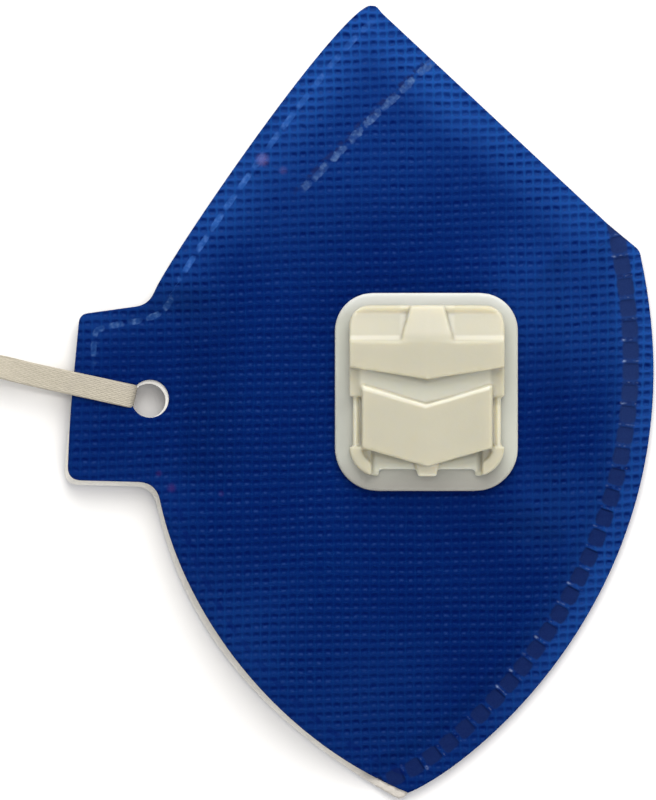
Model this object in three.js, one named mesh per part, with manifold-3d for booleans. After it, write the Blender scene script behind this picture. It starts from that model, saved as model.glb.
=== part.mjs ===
// A fold-flat respirator mask with an exhalation valve, folded once and lying on its back half.
// Millimetres. X runs from the open face side (left) to the welded seam (right), Y from the chin to
// the nose, Z up from the table. The origin is under the middle of the folded mask.

import * as THREE from "three";
import { mergeVertices } from "three/addons/utils/BufferGeometryUtils.js";
import Module from "manifold-3d";

const wasm = await Module();
wasm.setup();

// ---------------------------------------------------------------- driving dimensions

const GAP = 0.3;                 // clearance between pieces that touch on the real mask
const COVER_WALL = 1.0;          // outer spunbond with its filter layer
const LINING_WALL = 1.0;
const SEAM_MARGIN = 6.5;         // welded strip along the seam, pressed flat
const FOLD_MARGIN = 0.8;         // pinched crease along the fold
const PARTING = 5.0;             // how far in from the weld or the crease the halves part fully
const LINING_START = 4.4;        // how far in from them the lining starts, its halves run together
const EDGE_LIFT = 0.8;           // how far the closed edges rise off the table
const EDGE_REACH = 14;           // distance over which they come down to it
const CROWN = 9.6;               // greatest hollow between the two linings
const CROWN_REACH = 42;          // distance over which the front half rises to it
const MOUTH_DROP = 0.3;          // share of the hollow lost at the open face edge
const MOUTH_REACH = 14;
const LINING_ENDS = [-80, 83];   // how far down and up the lining goes into the chin and the nose
const FAR = 300;                 // beyond everything
const WELD_OVERLAP = 0.1;        // the halves run into each other in the closed strip
const WELD_REACH = 1.5;          // and part from each other within this distance of it

// The ear tab: how far it rises, to let the strap under it, the hollow between its two halves, and the
// places in X between which each of the two comes in.
const TAB = {
  lift: 1.6, hollow: 3.0, middle: 1, half: 17, beside: 10, lifted: [-39, -47], pressed: [-24, -48],
};

const VALVE = { x: 14.2, y: 1.9, hollow: 8.8, blend: 12 };
const FLANGE = { width: 40.6, length: 43.9, topRadius: 8.4, bottomRadius: 9.5, thickness: 1.6 };
const BARREL = { outer: 13.2, inner: 11.2, lip: 16.5, lipThickness: 1.2 };
const SEAT = { spoke: 1.6, hub: 2.4, turns: [0, 60, 120] };
const FLAP = { radius: 12.0, thickness: 0.8 };
const HOLE = { x: -47.0, y: 0.5, radius: 4.2 };
const STRAP = { width: 5.0, thickness: 0.7, slope: 12.2, notch: 4.9, longStretch: 12 };

// The folded outline. The peak is at the nose, the corner is where the fold meets the seam.
const CLOSED_EDGE = {
  peak: [3.1, 87.9],
  corner: { start: [59.9, 35.5], bend: [61.7, 33.9], end: [62.1, 31.5] },
  seam: [[74.0, -14.0], [51.3, -64.7], [10.5, -88.4]],
};

// The face edge of each half, from the peak over the ear tab to the chin. reach is how far from each
// corner of the tab its rounding starts.
const FACE_EDGES = {
  front: {
    peak: [1.5, 87.9],
    upper: [[-16.9, 69.2], [-32.8, 46.6]],
    tab: [
      { at: "upper root", x: -48.2, y: 22.0, reach: 2.4 },
      { at: "upper tip", x: -62.3, y: 19.2, reach: 1.8 },
      { at: "lower tip", x: -65.4, y: -17.6, reach: 3.2 },
      { at: "lower root", x: -45.6, y: -18.1, reach: 4.0 },
    ],
    lower: [[-38.5, -51.4], [-16.2, -74.2]],
    chin: [9.0, -87.9],
  },
  back: {
    peak: [1.5, 87.9],
    upper: [[-16.9, 69.2], [-32.8, 46.6]],
    tab: [
      { at: "upper root", x: -48.3, y: 22.1, reach: 2.4 },
      { at: "upper tip", x: -62.7, y: 19.3, reach: 1.8 },
      { at: "lower tip", x: -66.4, y: -18.6, reach: 3.4 },
      { at: "lower root", x: -46.4, y: -19.1, reach: 4.0 },
    ],
    lower: [[-39.6, -52.9], [-17.4, -75.8]],
    chin: [9.0, -88.4],
  },
};

// Soft dents (positive depth) and swells (negative) of the front half. along and across are how far
// each reaches, turn is the angle of its long way from X.
const DENTS = [
  { at: "above the valve", x: 6, y: 33, along: 36, across: 8, turn: 14, depth: 1.1 },
  { at: "swell under the nose", x: 14, y: 52, along: 26, across: 10, turn: 14, depth: -0.7 },
  { at: "right of the valve", x: 45, y: -4, along: 16, across: 7, turn: 80, depth: 0.9 },
  { at: "lower left", x: -16, y: -16, along: 18, across: 8, turn: 10, depth: 0.8 },
  { at: "swell at the lower right", x: 42, y: -32, along: 18, across: 9, turn: 60, depth: -0.7 },
  { at: "towards the chin", x: 20, y: -54, along: 20, across: 9, turn: 40, depth: 0.9 },
];

// Across each half: distances in from the closed edge, then places in X, round the valve's flat seat.
const EDGE_COLUMNS = [0, 1.2, 6.5, 11.5];
const SEAT_MARGIN = 1.5;
const SEAT_COLUMNS = [-1, 0, 1].map((side) => VALVE.x - side * (FLANGE.width / 2 + SEAT_MARGIN));
const FACE_COLUMNS = [-22, -36, -49];
const CLOSEST_COLUMNS = 3;
const CURVE_CUTS = 10;
const CORNER_CUTS = 3;

// The strap's loop. along is the distance from the middle of the tab hole away from the mask, across
// is to the nose side of that line, z is above the table, edge turns it from lying flat (0) to
// standing on its edge (1).
const TAB_TOP = TAB.lift + 2 * COVER_WALL + 2 * LINING_WALL + 2 * GAP + TAB.hollow;
const STRAP_TOP = TAB_TOP + GAP + STRAP.thickness / 2 + 0.05;
const STRAP_UNDER = TAB.lift - GAP - STRAP.thickness / 2 - 0.05;
const ON_EDGE = STRAP.width / 2 + 0.1;
const STRAP_ROUTE = [
  { along: 3.7, across: 0, z: (TAB_TOP + TAB.lift) / 2, edge: 0 },
  { along: 3.7, across: 0, z: TAB_TOP - 1.3, edge: 0 },
  { along: 4.1, across: 0, z: TAB_TOP, edge: 0 },
  { along: 5.6, across: 0, z: STRAP_TOP, edge: 0 },
  { along: 10, across: 0, z: STRAP_TOP, edge: 0 },
  { along: 18, across: 0, z: STRAP_TOP - 0.05, edge: 0 },
  { along: 27, across: 0, z: STRAP_TOP - 0.7, edge: 0 },
  { along: 37, across: 0.2, z: STRAP_TOP - 2.4, edge: 0.05 },
  { along: 56, across: 4, z: 4.8, edge: 0.5 },
  { along: 78, across: 14, z: ON_EDGE + 0.3, edge: 0.95 },
  { along: 104, across: 29, z: ON_EDGE, edge: 1 },
  { along: 134, across: 39, z: ON_EDGE, edge: 1 },
  { along: 162, across: 33, z: ON_EDGE, edge: 1 },
  { along: 178, across: 10, z: ON_EDGE, edge: 1 },
  { along: 176, across: -16, z: ON_EDGE, edge: 1 },
  { along: 158, across: -35, z: ON_EDGE, edge: 1 },
  { along: 130, across: -39, z: ON_EDGE, edge: 1 },
  { along: 100, across: -28, z: ON_EDGE, edge: 1 },
  { along: 76, across: -14, z: ON_EDGE, edge: 0.95 },
  { along: 55, across: -3.6, z: 2.25, edge: 0.5 },
  { along: 37, across: 0, z: STRAP_UNDER, edge: 0.02 },
  { along: 27, across: 0, z: STRAP_UNDER, edge: 0 },
  { along: 18, across: 0, z: STRAP_UNDER, edge: 0 },
  { along: 10, across: 0, z: STRAP_UNDER, edge: 0 },
  { along: 5.6, across: 0, z: STRAP_UNDER, edge: 0 },
  { along: 4.1, across: 0, z: TAB.lift, edge: 0 },
  { along: 3.7, across: 0, z: TAB.lift + 1.3, edge: 0 },
];

const BLUE = new THREE.MeshStandardMaterial({ color: 0x103a8c, roughness: 0.85, metalness: 0 });
const WHITE = new THREE.MeshStandardMaterial({ color: 0xe9e8e4, roughness: 0.9, metalness: 0 });
const FROSTED = new THREE.MeshStandardMaterial({ color: 0xd9dad2, roughness: 0.4, metalness: 0 });
const CREAM = new THREE.MeshStandardMaterial({ color: 0xe9e6d8, roughness: 0.45, metalness: 0 });
const FLAP_WHITE = new THREE.MeshStandardMaterial({ color: 0xe4e2da, roughness: 0.6, metalness: 0 });
const ELASTIC = new THREE.MeshStandardMaterial({ color: 0xe2dccb, roughness: 0.9, metalness: 0 });

// ---------------------------------------------------------------- solids

function solidOf(geometry) {
  const bare = geometry.clone();
  bare.deleteAttribute("normal");
  bare.deleteAttribute("uv");
  const merged = mergeVertices(bare, 1e-4);
  const mesh = new wasm.Mesh({
    numProp: 3,
    vertProperties: new Float32Array(merged.attributes.position.array),
    triVerts: new Uint32Array(merged.index.array),
  });
  return new wasm.Manifold(mesh);
}

function geometryOf(solid) {
  const mesh = solid.getMesh();
  const geometry = new THREE.BufferGeometry();
  geometry.setAttribute("position", new THREE.BufferAttribute(mesh.vertProperties, 3));
  geometry.setIndex(new THREE.BufferAttribute(mesh.triVerts, 1));
  geometry.computeVertexNormals();
  return geometry;
}

function joined(solids) {
  return solids.reduce((sum, next) => sum.add(next));
}

// A closed mesh from points in rings, where ends says whether the rings' two ends are capped or the
// last ring meets the first.
function loft(rings, ends) {
  const size = rings[0].length;
  const position = rings.flat(2);
  const index = [];
  const last = ends === "capped" ? rings.length - 1 : rings.length;
  for (let r = 0; r < last; r += 1) {
    const here = r * size;
    const there = ((r + 1) % rings.length) * size;
    for (let i = 0; i < size; i += 1) {
      const j = (i + 1) % size;
      index.push(here + i, here + j, there + j);
      index.push(here + i, there + j, there + i);
    }
  }
  if (ends === "capped") {
    const top = (rings.length - 1) * size;
    for (let i = 1; i < size - 1; i += 1) {
      index.push(0, i + 1, i);
      index.push(top, top + i, top + i + 1);
    }
  }
  const geometry = new THREE.BufferGeometry();
  geometry.setAttribute("position", new THREE.Float32BufferAttribute(position, 3));
  geometry.setIndex(index);
  return geometry;
}

function prism(shape, low, high, segments = 8) {
  const geometry = new THREE.ExtrudeGeometry(shape, {
    depth: high - low,
    bevelEnabled: false,
    curveSegments: segments,
  });
  geometry.translate(0, 0, low);
  return solidOf(geometry);
}

function block(x0, x1, y0, y1, z0, z1) {
  const geometry = new THREE.BoxGeometry(x1 - x0, y1 - y0, z1 - z0);
  geometry.translate((x0 + x1) / 2, (y0 + y1) / 2, (z0 + z1) / 2);
  return solidOf(geometry);
}

function disc(x, y, radius, low, high, sides = 40) {
  const geometry = new THREE.CylinderGeometry(radius, radius, high - low, sides);
  geometry.rotateX(Math.PI / 2);
  geometry.translate(x, y, (low + high) / 2);
  return solidOf(geometry);
}

function polygon(points) {
  return new THREE.Shape(points.map(([x, y]) => new THREE.Vector2(x, y)));
}

function roundedRectangle(x0, x1, y0, y1, topRadius, bottomRadius) {
  const shape = new THREE.Shape();
  shape.moveTo(x0 + bottomRadius, y0);
  shape.lineTo(x1 - bottomRadius, y0);
  shape.absarc(x1 - bottomRadius, y0 + bottomRadius, bottomRadius, -Math.PI / 2, 0);
  shape.lineTo(x1, y1 - topRadius);
  shape.absarc(x1 - topRadius, y1 - topRadius, topRadius, 0, Math.PI / 2);
  shape.lineTo(x0 + topRadius, y1);
  shape.absarc(x0 + topRadius, y1 - topRadius, topRadius, Math.PI / 2, Math.PI);
  shape.lineTo(x0, y0 + bottomRadius);
  shape.absarc(x0 + bottomRadius, y0 + bottomRadius, bottomRadius, Math.PI, Math.PI * 1.5);
  return shape;
}

// ---------------------------------------------------------------- the folded outline

function smooth(value) {
  const t = Math.min(Math.max(value, 0), 1);
  return t * t * (3 - 2 * t);
}

function towards(from, to, distance) {
  const length = Math.hypot(to[0] - from[0], to[1] - from[1]);
  return [
    from[0] + ((to[0] - from[0]) * distance) / length,
    from[1] + ((to[1] - from[1]) * distance) / length,
  ];
}

// A path's points, with more of them on its long curves than on its rounded corners.
function pointsOf(path) {
  const points = [path.curves[0].getPoint(0)];
  for (const curve of path.curves) {
    const cuts = { CubicBezierCurve: CURVE_CUTS, QuadraticBezierCurve: CORNER_CUTS }[curve.type] ?? 1;
    points.push(...curve.getPoints(cuts).slice(1));
  }
  return points;
}

function foldLine() {
  const path = new THREE.Path();
  path.moveTo(...CLOSED_EDGE.peak);
  path.lineTo(...CLOSED_EDGE.corner.start);
  return pointsOf(path);
}

function seamLine() {
  const path = new THREE.Path();
  path.moveTo(...CLOSED_EDGE.corner.end);
  path.bezierCurveTo(...CLOSED_EDGE.seam.flat());
  return pointsOf(path);
}

function closedLine() {
  const { start, bend, end } = CLOSED_EDGE.corner;
  const path = new THREE.Path();
  path.moveTo(...start);
  path.quadraticCurveTo(...bend, ...end);
  return [foldLine()[0], ...pointsOf(path), ...seamLine().slice(1)];
}

function faceLine(edge) {
  const corners = edge.tab.map((corner) => [corner.x, corner.y]);
  const path = new THREE.Path();
  path.moveTo(...edge.peak);
  const start = towards(corners[0], edge.upper[1], edge.tab[0].reach);
  path.bezierCurveTo(...edge.upper.flat(), ...start);
  edge.tab.forEach((corner, i) => {
    const before = i === 0 ? start : towards(corners[i], corners[i - 1], corner.reach);
    const next = i === 3 ? edge.lower[0] : corners[i + 1];
    const after = towards(corners[i], next, corner.reach);
    path.lineTo(...before);
    path.quadraticCurveTo(...corners[i], ...after);
  });
  path.bezierCurveTo(...edge.lower.flat(), ...edge.chin);
  return pointsOf(path);
}

// Where a line that only goes down in Y crosses a height.
function crossing(line, y) {
  for (let i = 1; i < line.length; i += 1) {
    if (line[i].y <= y) {
      const above = line[i - 1];
      const drop = above.y - line[i].y;
      const share = drop > 0 ? Math.min(Math.max((above.y - y) / drop, 0), 1) : 0;
      return above.x + (line[i].x - above.x) * share;
    }
  }
  return line[line.length - 1].x;
}

function distanceTo(line, x, y) {
  let nearest = Infinity;
  for (let i = 1; i < line.length; i += 1) {
    const dx = line[i].x - line[i - 1].x;
    const dy = line[i].y - line[i - 1].y;
    const along = ((x - line[i - 1].x) * dx + (y - line[i - 1].y) * dy) / (dx * dx + dy * dy || 1);
    const t = Math.min(Math.max(along, 0), 1);
    nearest = Math.min(nearest, Math.hypot(x - line[i - 1].x - dx * t, y - line[i - 1].y - dy * t));
  }
  return nearest;
}

const FOLD = foldLine();
const SEAM = seamLine();
const CLOSED = closedLine();
const FRONT_EDGE = faceLine(FACE_EDGES.front);
const BACK_EDGE = faceLine(FACE_EDGES.back);

// Distance in from the inner border of the welded strip and of the crease.
function clear(x, y) {
  return Math.min(distanceTo(FOLD, x, y) - FOLD_MARGIN, distanceTo(SEAM, x, y) - SEAM_MARGIN);
}

// ---------------------------------------------------------------- the sheets' heights

// 1 on the ear tab, falling to 0 between the two places in X and beside the tab.
function tabShare(x, y, [start, full]) {
  const beside = 1 - smooth((Math.abs(y - TAB.middle) - TAB.half) / TAB.beside);
  return smooth((x - start) / (full - start)) * beside;
}

function backUnderside(x, y) {
  const edge = EDGE_LIFT * (1 - smooth((clear(x, y) + SEAM_MARGIN) / EDGE_REACH));
  return Math.max(edge, TAB.lift * tabShare(x, y, TAB.lifted));
}

function dents(x, y) {
  return DENTS.reduce((sum, dent) => {
    const turn = THREE.MathUtils.degToRad(dent.turn);
    const dx = x - dent.x;
    const dy = y - dent.y;
    const along = (dx * Math.cos(turn) + dy * Math.sin(turn)) / dent.along;
    const across = (dy * Math.cos(turn) - dx * Math.sin(turn)) / dent.across;
    return sum + dent.depth * Math.exp(-along * along - across * across);
  }, 0);
}

// The clear height between the two linings.
function hollow(x, y) {
  const rise = Math.min(Math.max((clear(x, y) - PARTING) / CROWN_REACH, 0), 1);
  const crown = 1 - (1 - rise) * (1 - rise);
  const mouth = 1 - MOUTH_DROP * Math.exp(-distanceTo(FRONT_EDGE, x, y) / MOUTH_REACH);
  const open = (CROWN * mouth - dents(x, y)) * crown;
  const pressed = tabShare(x, y, TAB.pressed);
  const free = THREE.MathUtils.lerp(open, Math.min(open, TAB.hollow), pressed);
  const beside = Math.abs(x - VALVE.x) - FLANGE.width / 2;
  const beyond = Math.abs(y - VALVE.y) - FLANGE.length / 2;
  const valve = 1 - smooth(Math.max(beside, beyond, 0) / VALVE.blend);
  return THREE.MathUtils.lerp(free, VALVE.hollow, valve);
}

// How far the inside of the front cover is above the inside of the back cover.
function parting(x, y) {
  const layers = 2 * (LINING_WALL + GAP) * smooth(clear(x, y) / PARTING);
  return layers + hollow(x, y) - WELD_OVERLAP * (1 - smooth(clear(x, y) / WELD_REACH));
}

const SHEETS = {
  backCover: {
    lower: (x, y) => backUnderside(x, y),
    upper: (x, y) => backUnderside(x, y) + COVER_WALL,
  },
  frontCover: {
    lower: (x, y) => backUnderside(x, y) + COVER_WALL + parting(x, y),
    upper: (x, y) => backUnderside(x, y) + 2 * COVER_WALL + parting(x, y),
  },
  backLining: {
    lower: (x, y) => backUnderside(x, y) + COVER_WALL + GAP,
    upper: (x, y) => backUnderside(x, y) + COVER_WALL + GAP + LINING_WALL,
  },
  frontLining: {
    lower: (x, y) => backUnderside(x, y) + COVER_WALL + parting(x, y) - GAP - LINING_WALL,
    upper: (x, y) => backUnderside(x, y) + COVER_WALL + parting(x, y) - GAP,
  },
};

// ---------------------------------------------------------------- the cloth

// The places across one row, in order from its closed end to the face: where the row is too short for
// them, they move together.
function columns(closed, width, slant) {
  const wanted = [
    ...EDGE_COLUMNS.map((inset) => inset * slant),
    ...[...SEAT_COLUMNS, ...FACE_COLUMNS].map((x) => closed - x),
    width,
  ];
  const step = Math.min(width / (2 * wanted.length), CLOSEST_COLUMNS);
  const insets = [];
  wanted.forEach((inset, i) => {
    const least = i > 1 ? insets[i - 1] + step : 0;
    const most = width - (wanted.length - 1 - i) * step;
    insets.push(Math.min(Math.max(inset, least), most));
  });
  return insets.map((inset) => closed - inset);
}

// The rows of points of one half, from the peak to the chin, each from the closed edge to the face.
function coverRows(faceEdge) {
  const heights = faceEdge.map((point) => point.y);
  const seat = FLANGE.length / 2 + SEAT_MARGIN;
  heights.push(CLOSED_EDGE.corner.bend[1], CLOSED_EDGE.corner.end[1], VALVE.y + seat, VALVE.y - seat);
  heights.sort((a, b) => b - a);
  const distinct = heights.filter((y, i) => i === 0 || heights[i - 1] - y > 0.05);
  return distinct.map((y) => {
    const closed = crossing(CLOSED, y);
    const width = closed - crossing(faceEdge, y);
    const slope = crossing(CLOSED, y + 0.5) - crossing(CLOSED, y - 0.5);
    const slant = Math.hypot(1, slope);
    return columns(closed, width, slant).map((x) => [x, y]);
  });
}

// Everything to the face side of a line that is moved in by a margin and carried on up and down.
function inwardPrism(line, margin) {
  const moved = line.map((point, i) => {
    const from = line[Math.max(i - 1, 0)];
    const to = line[Math.min(i + 1, line.length - 1)];
    const length = Math.hypot(to.x - from.x, to.y - from.y);
    const inward = [(to.y - from.y) / length, (from.x - to.x) / length];
    return [point.x + inward[0] * margin, point.y + inward[1] * margin];
  });
  const first = moved[0];
  const last = moved[moved.length - 1];
  const outline = [
    [-FAR, -FAR], [last[0], -FAR], ...moved.reverse(), [first[0], FAR], [-FAR, FAR],
  ];
  return prism(polygon(outline), -FAR, FAR);
}

// A closed sheet over rows of points. Its two faces are cut along the same diagonals, so that sheets
// made from the same rows lie evenly over each other.
function slab(rows, sheet) {
  const across = rows[0].length;
  const count = rows.length * across;
  const flat = rows.flat();
  const over = flat.map(([x, y]) => [x, y, sheet.upper(x, y)]);
  const under = flat.map(([x, y]) => [x, y, sheet.lower(x, y)]);
  const index = [];
  for (let r = 0; r < rows.length - 1; r += 1) {
    for (let i = 0; i < across - 1; i += 1) {
      const a = r * across + i;
      const b = a + 1;
      const c = b + across;
      const d = a + across;
      index.push(a, b, c, a, c, d);
      index.push(count + a, count + c, count + b, count + a, count + d, count + c);
    }
  }
  const rim = [
    ...rows[0].map((_, i) => i),
    ...rows.slice(1).map((_, r) => (r + 2) * across - 1),
    ...rows[0].map((_, i) => count - 1 - i).slice(1),
    ...rows.slice(1, -1).map((_, r) => count - (r + 2) * across),
  ];
  rim.forEach((here, i) => {
    const next = rim[(i + 1) % rim.length];
    index.push(here, count + next, next, here, count + here, count + next);
  });
  const position = [...over, ...under].flat();
  const geometry = new THREE.BufferGeometry();
  geometry.setAttribute("position", new THREE.Float32BufferAttribute(position, 3));
  geometry.setIndex(index);
  return solidOf(geometry);
}

function holePrism(x, y) {
  const turn = THREE.MathUtils.degToRad(180 - STRAP.slope);
  const away = [Math.cos(turn), Math.sin(turn)];
  const side = [-away[1], away[0]];
  const half = STRAP.width / 2 + 2 * GAP;
  const corner = (along, across) => [
    x + away[0] * along + side[0] * across,
    y + away[1] * along + side[1] * across,
  ];
  const notch = polygon([
    corner(0, -half),
    corner(STRAP.notch, -half),
    corner(STRAP.notch, half),
    corner(0, half),
  ]);
  return disc(x, y, HOLE.radius, -5, 30, 24).add(prism(notch, -5, 30));
}

function pocket(frontSheet, backSheet) {
  const front = slab(coverRows(FRONT_EDGE), frontSheet);
  const back = slab(coverRows(BACK_EDGE), backSheet);
  const valveHole = disc(VALVE.x, VALVE.y, BARREL.outer + GAP, 6, 30);
  return front.subtract(valveHole).add(back).subtract(holePrism(HOLE.x, HOLE.y));
}

function outerCover() {
  return geometryOf(pocket(SHEETS.frontCover, SHEETS.backCover));
}

// Cut from the same rows as the cover, so that the gap between the two is even.
function innerLining() {
  const fromSeam = inwardPrism(SEAM, SEAM_MARGIN + LINING_START);
  const fromFold = inwardPrism(FOLD, FOLD_MARGIN + LINING_START);
  const lining = pocket(SHEETS.frontLining, SHEETS.backLining);
  const ends = block(-FAR, FAR, ...LINING_ENDS, -FAR, FAR);
  return geometryOf(lining.intersect(fromSeam).intersect(fromFold).intersect(ends));
}

// ---------------------------------------------------------------- the valve

const FRONT_PLANE = 2 * (COVER_WALL + LINING_WALL + GAP) + VALVE.hollow;
const LINING_UNDERSIDE = FRONT_PLANE - COVER_WALL - GAP - LINING_WALL;
const FLANGE_LOW = FRONT_PLANE + GAP;
const FLANGE_TOP = FLANGE_LOW + FLANGE.thickness;
const LIP_TOP = LINING_UNDERSIDE - GAP;
const LIP_LOW = LIP_TOP - BARREL.lipThickness;

function valveBase() {
  const halfWidth = FLANGE.width / 2;
  const halfLength = FLANGE.length / 2;
  const { topRadius, bottomRadius } = FLANGE;
  const plate = roundedRectangle(
    -halfWidth, halfWidth, -halfLength, halfLength, topRadius, bottomRadius,
  );
  const bore = disc(0, 0, BARREL.inner, LIP_LOW - 1, FLANGE_TOP + 1);
  const flange = prism(plate, FLANGE_LOW, FLANGE_TOP);
  const barrel = disc(0, 0, BARREL.outer, LIP_LOW, FLANGE_TOP - 0.2);
  const lip = disc(0, 0, BARREL.lip, LIP_LOW, LIP_TOP);
  const spokes = SEAT.turns.map((degrees) => {
    const bar = new THREE.BoxGeometry(2 * BARREL.inner + 1, SEAT.spoke, SEAT.spoke);
    bar.rotateZ(THREE.MathUtils.degToRad(degrees));
    bar.translate(0, 0, FLANGE_TOP - SEAT.spoke / 2);
    return solidOf(bar);
  });
  const hub = disc(0, 0, SEAT.hub, FLANGE_TOP - SEAT.spoke, FLANGE_TOP, 16);
  const ring = joined([flange, barrel, lip]).subtract(bore);
  return geometryOf(joined([ring, hub, ...spokes]));
}

function valveFlap() {
  const low = FLANGE_TOP + GAP;
  return geometryOf(disc(0, 0, FLAP.radius, low, low + FLAP.thickness, 32));
}

// The valve cover, in the flange's own plane: heights are above the flange.
const COVER = {
  left: -17.1, right: 17.3, top: 19.2, bottom: -18.7, centre: 0.15,
  topRadius: 4.4, bottomRadius: 6.6, foot: GAP, ceiling: 12,
};

// The upper roof's windows, from the top edge of the cover down to the band.
const WINDOW_PROFILE = [
  { v: 19.2, z: 4.6 },
  { v: 18.4, z: 4.6 },
  { v: 17.6, z: 3.9 },
  { v: 12.3, z: 6.1 },
  { v: 11.3, z: 7.0 },
  { v: 9.0, z: 7.0 },
];

// Each roof's left half: its outer end and its crease, at the upper and the lower edge.
const ROOFS = {
  ridge: {
    upper: { v: 19.2, end: -3.5, z: 5.9, creaseZ: 6.1 },
    lower: { v: 11.3, end: -5.6, z: 7.3, creaseZ: 7.7 },
  },
  band: {
    upper: { v: 11.3, end: -17.1, z: 7.0, creaseZ: 7.7 },
    lower: { v: 5.5, creaseV: 2.8, end: -17.1, z: 7.2, creaseZ: 8.0 },
  },
  panel: {
    upper: { v: 1.7, creaseV: -2.7, end: -14.3, z: 5.2, creaseZ: 5.7 },
    lower: { v: -12.4, creaseV: -16.5, end: -14.3, z: 5.9, creaseZ: 6.6 },
  },
};

// A solid with a flat foot and a top that slopes to its crease on the cover's centre line.
function roof({ upper, lower }, foot) {
  const c = COVER.centre;
  const half = (side) => {
    const corners = [
      [c + side * (upper.end - c), upper.v, upper.z],
      [c, upper.creaseV ?? upper.v, upper.creaseZ],
      [c, lower.creaseV ?? lower.v, lower.creaseZ],
      [c + side * (lower.end - c), lower.v, lower.z],
    ];
    const order = side < 0 ? corners.reverse() : corners;
    const feet = order.map(([u, v]) => [u, v, foot]);
    return solidOf(loft([order, feet], "capped"));
  };
  return half(1).add(half(-1));
}

// A v-z profile run across the whole cover.
function acrossCover(profile, foot) {
  const outline = [
    ...profile.map(({ v, z }) => [v, z]),
    [profile[profile.length - 1].v, foot],
    [profile[0].v, foot],
  ];
  const depth = COVER.right - COVER.left;
  const geometry = new THREE.ExtrudeGeometry(polygon(outline), { depth, bevelEnabled: false });
  geometry.rotateX(Math.PI / 2);
  geometry.rotateZ(Math.PI / 2);
  geometry.translate(COVER.left, 0, 0);
  return solidOf(geometry);
}

// What else stands on the flange. Sides and ends that lie beyond the cover's outline are cut by it.
const RAILS = [
  { part: "under the band", left: -18, right: 18.3, bottom: -1, top: 8, height: 4.0 },
  { part: "behind the panel's crease", left: -6.2, right: 6.5, bottom: -3.6, top: 0, height: 4.0 },
  { part: "left rail", left: -16.3, right: -15.3, bottom: -12.3, top: -0.5, height: 3.3 },
  { part: "right rail", left: 15.5, right: 16.5, bottom: -12.3, top: -0.5, height: 3.3 },
  { part: "bottom tab", left: -2.05, right: 2.35, bottom: -19.7, top: -16, height: 2.6 },
];
const SHELF = { side: 0.8, bottom: -17.2, top: 2, height: 2.6, topRadius: 1, bottomRadius: 5.6 };
const CORNER_FOOT = { width: 2.7, height: 3.6 };

// The hollow under the roofs, and the slots that the breath leaves by.
const CHAMBERS = [
  { part: "top", left: -15.6, right: 15.8, bottom: 4.2, top: 17.6, low: -0.7, high: 2.6 },
  { part: "middle", left: -15.5, right: 15.7, bottom: 0.2, top: 10.6, low: -0.7, high: 2.8 },
  { part: "under the band", left: -13.7, right: 13.9, bottom: 6.0, top: 10.8, low: 2, high: 5.8 },
  { part: "under the panel", left: -12.9, right: 13.1, bottom: -11.2, top: 1.1, low: -0.7, high: 2.9 },
];
const SLOTS = [
  { part: "left, under the band", left: -13.7, right: -2.65, bottom: 1.5, top: 7, low: 4.2, high: 5.8 },
  { part: "right, under the band", left: 2.95, right: 13.9, bottom: 1.5, top: 7, low: 4.2, high: 5.8 },
  { part: "left, under the panel", left: -12.1, right: -2.35, bottom: -20, top: -10, low: 1.4, high: 4.4 },
  { part: "right, under the panel", left: 2.65, right: 12.3, bottom: -20, top: -10, low: 1.4, high: 4.4 },
];
const FLAP_ROOM = { radius: FLAP.radius + 0.5, height: GAP + FLAP.thickness + GAP };

function cornerFoot(side, low) {
  const radius = COVER.bottomRadius;
  const u = side > 0 ? COVER.right - radius : COVER.left + radius;
  const v = COVER.bottom + radius;
  const start = side > 0 ? -Math.PI / 2 : Math.PI;
  const end = start + Math.PI / 2;
  const arc = new THREE.Shape();
  arc.absarc(u, v, radius, start, end, false);
  arc.absarc(u, v, radius - CORNER_FOOT.width, end, start, true);
  return prism(arc, low, CORNER_FOOT.height, 10);
}

function valveCover() {
  const { left, right, top, bottom, foot } = COVER;
  const low = foot - 1;
  const shelf = roundedRectangle(
    left + SHELF.side, right - SHELF.side, SHELF.bottom, SHELF.top, SHELF.topRadius, SHELF.bottomRadius,
  );
  const body = joined([
    acrossCover(WINDOW_PROFILE, low),
    roof(ROOFS.ridge, low),
    roof(ROOFS.band, low),
    roof(ROOFS.panel, low),
    ...RAILS.map((rail) => block(rail.left, rail.right, rail.bottom, rail.top, low, rail.height)),
    prism(shelf, low, SHELF.height),
    cornerFoot(-1, low),
    cornerFoot(1, low),
  ]);
  const outline = roundedRectangle(left, right, bottom, top, COVER.topRadius, COVER.bottomRadius);
  const shaped = body.intersect(prism(outline, foot, COVER.ceiling, 6));
  const hollows = [...CHAMBERS, ...SLOTS].map((room) =>
    block(room.left, room.right, room.bottom, room.top, room.low, room.high),
  );
  const flapRoom = disc(0, 0, FLAP_ROOM.radius, low, FLAP_ROOM.height, 24);
  return geometryOf(shaped.subtract(joined([flapRoom, ...hollows])));
}

// ---------------------------------------------------------------- the head strap

function strapCurve() {
  const turn = THREE.MathUtils.degToRad(180 - STRAP.slope);
  const away = new THREE.Vector3(Math.cos(turn), Math.sin(turn), 0);
  const noseSide = new THREE.Vector3(-away.y, away.x, 0).negate();
  const points = STRAP_ROUTE.map((row) =>
    new THREE.Vector3(HOLE.x, HOLE.y, row.z)
      .addScaledVector(away, row.along)
      .addScaledVector(noseSide, row.across),
  );
  return { curve: new THREE.CatmullRomCurve3(points, true, "centripetal"), noseSide };
}

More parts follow.
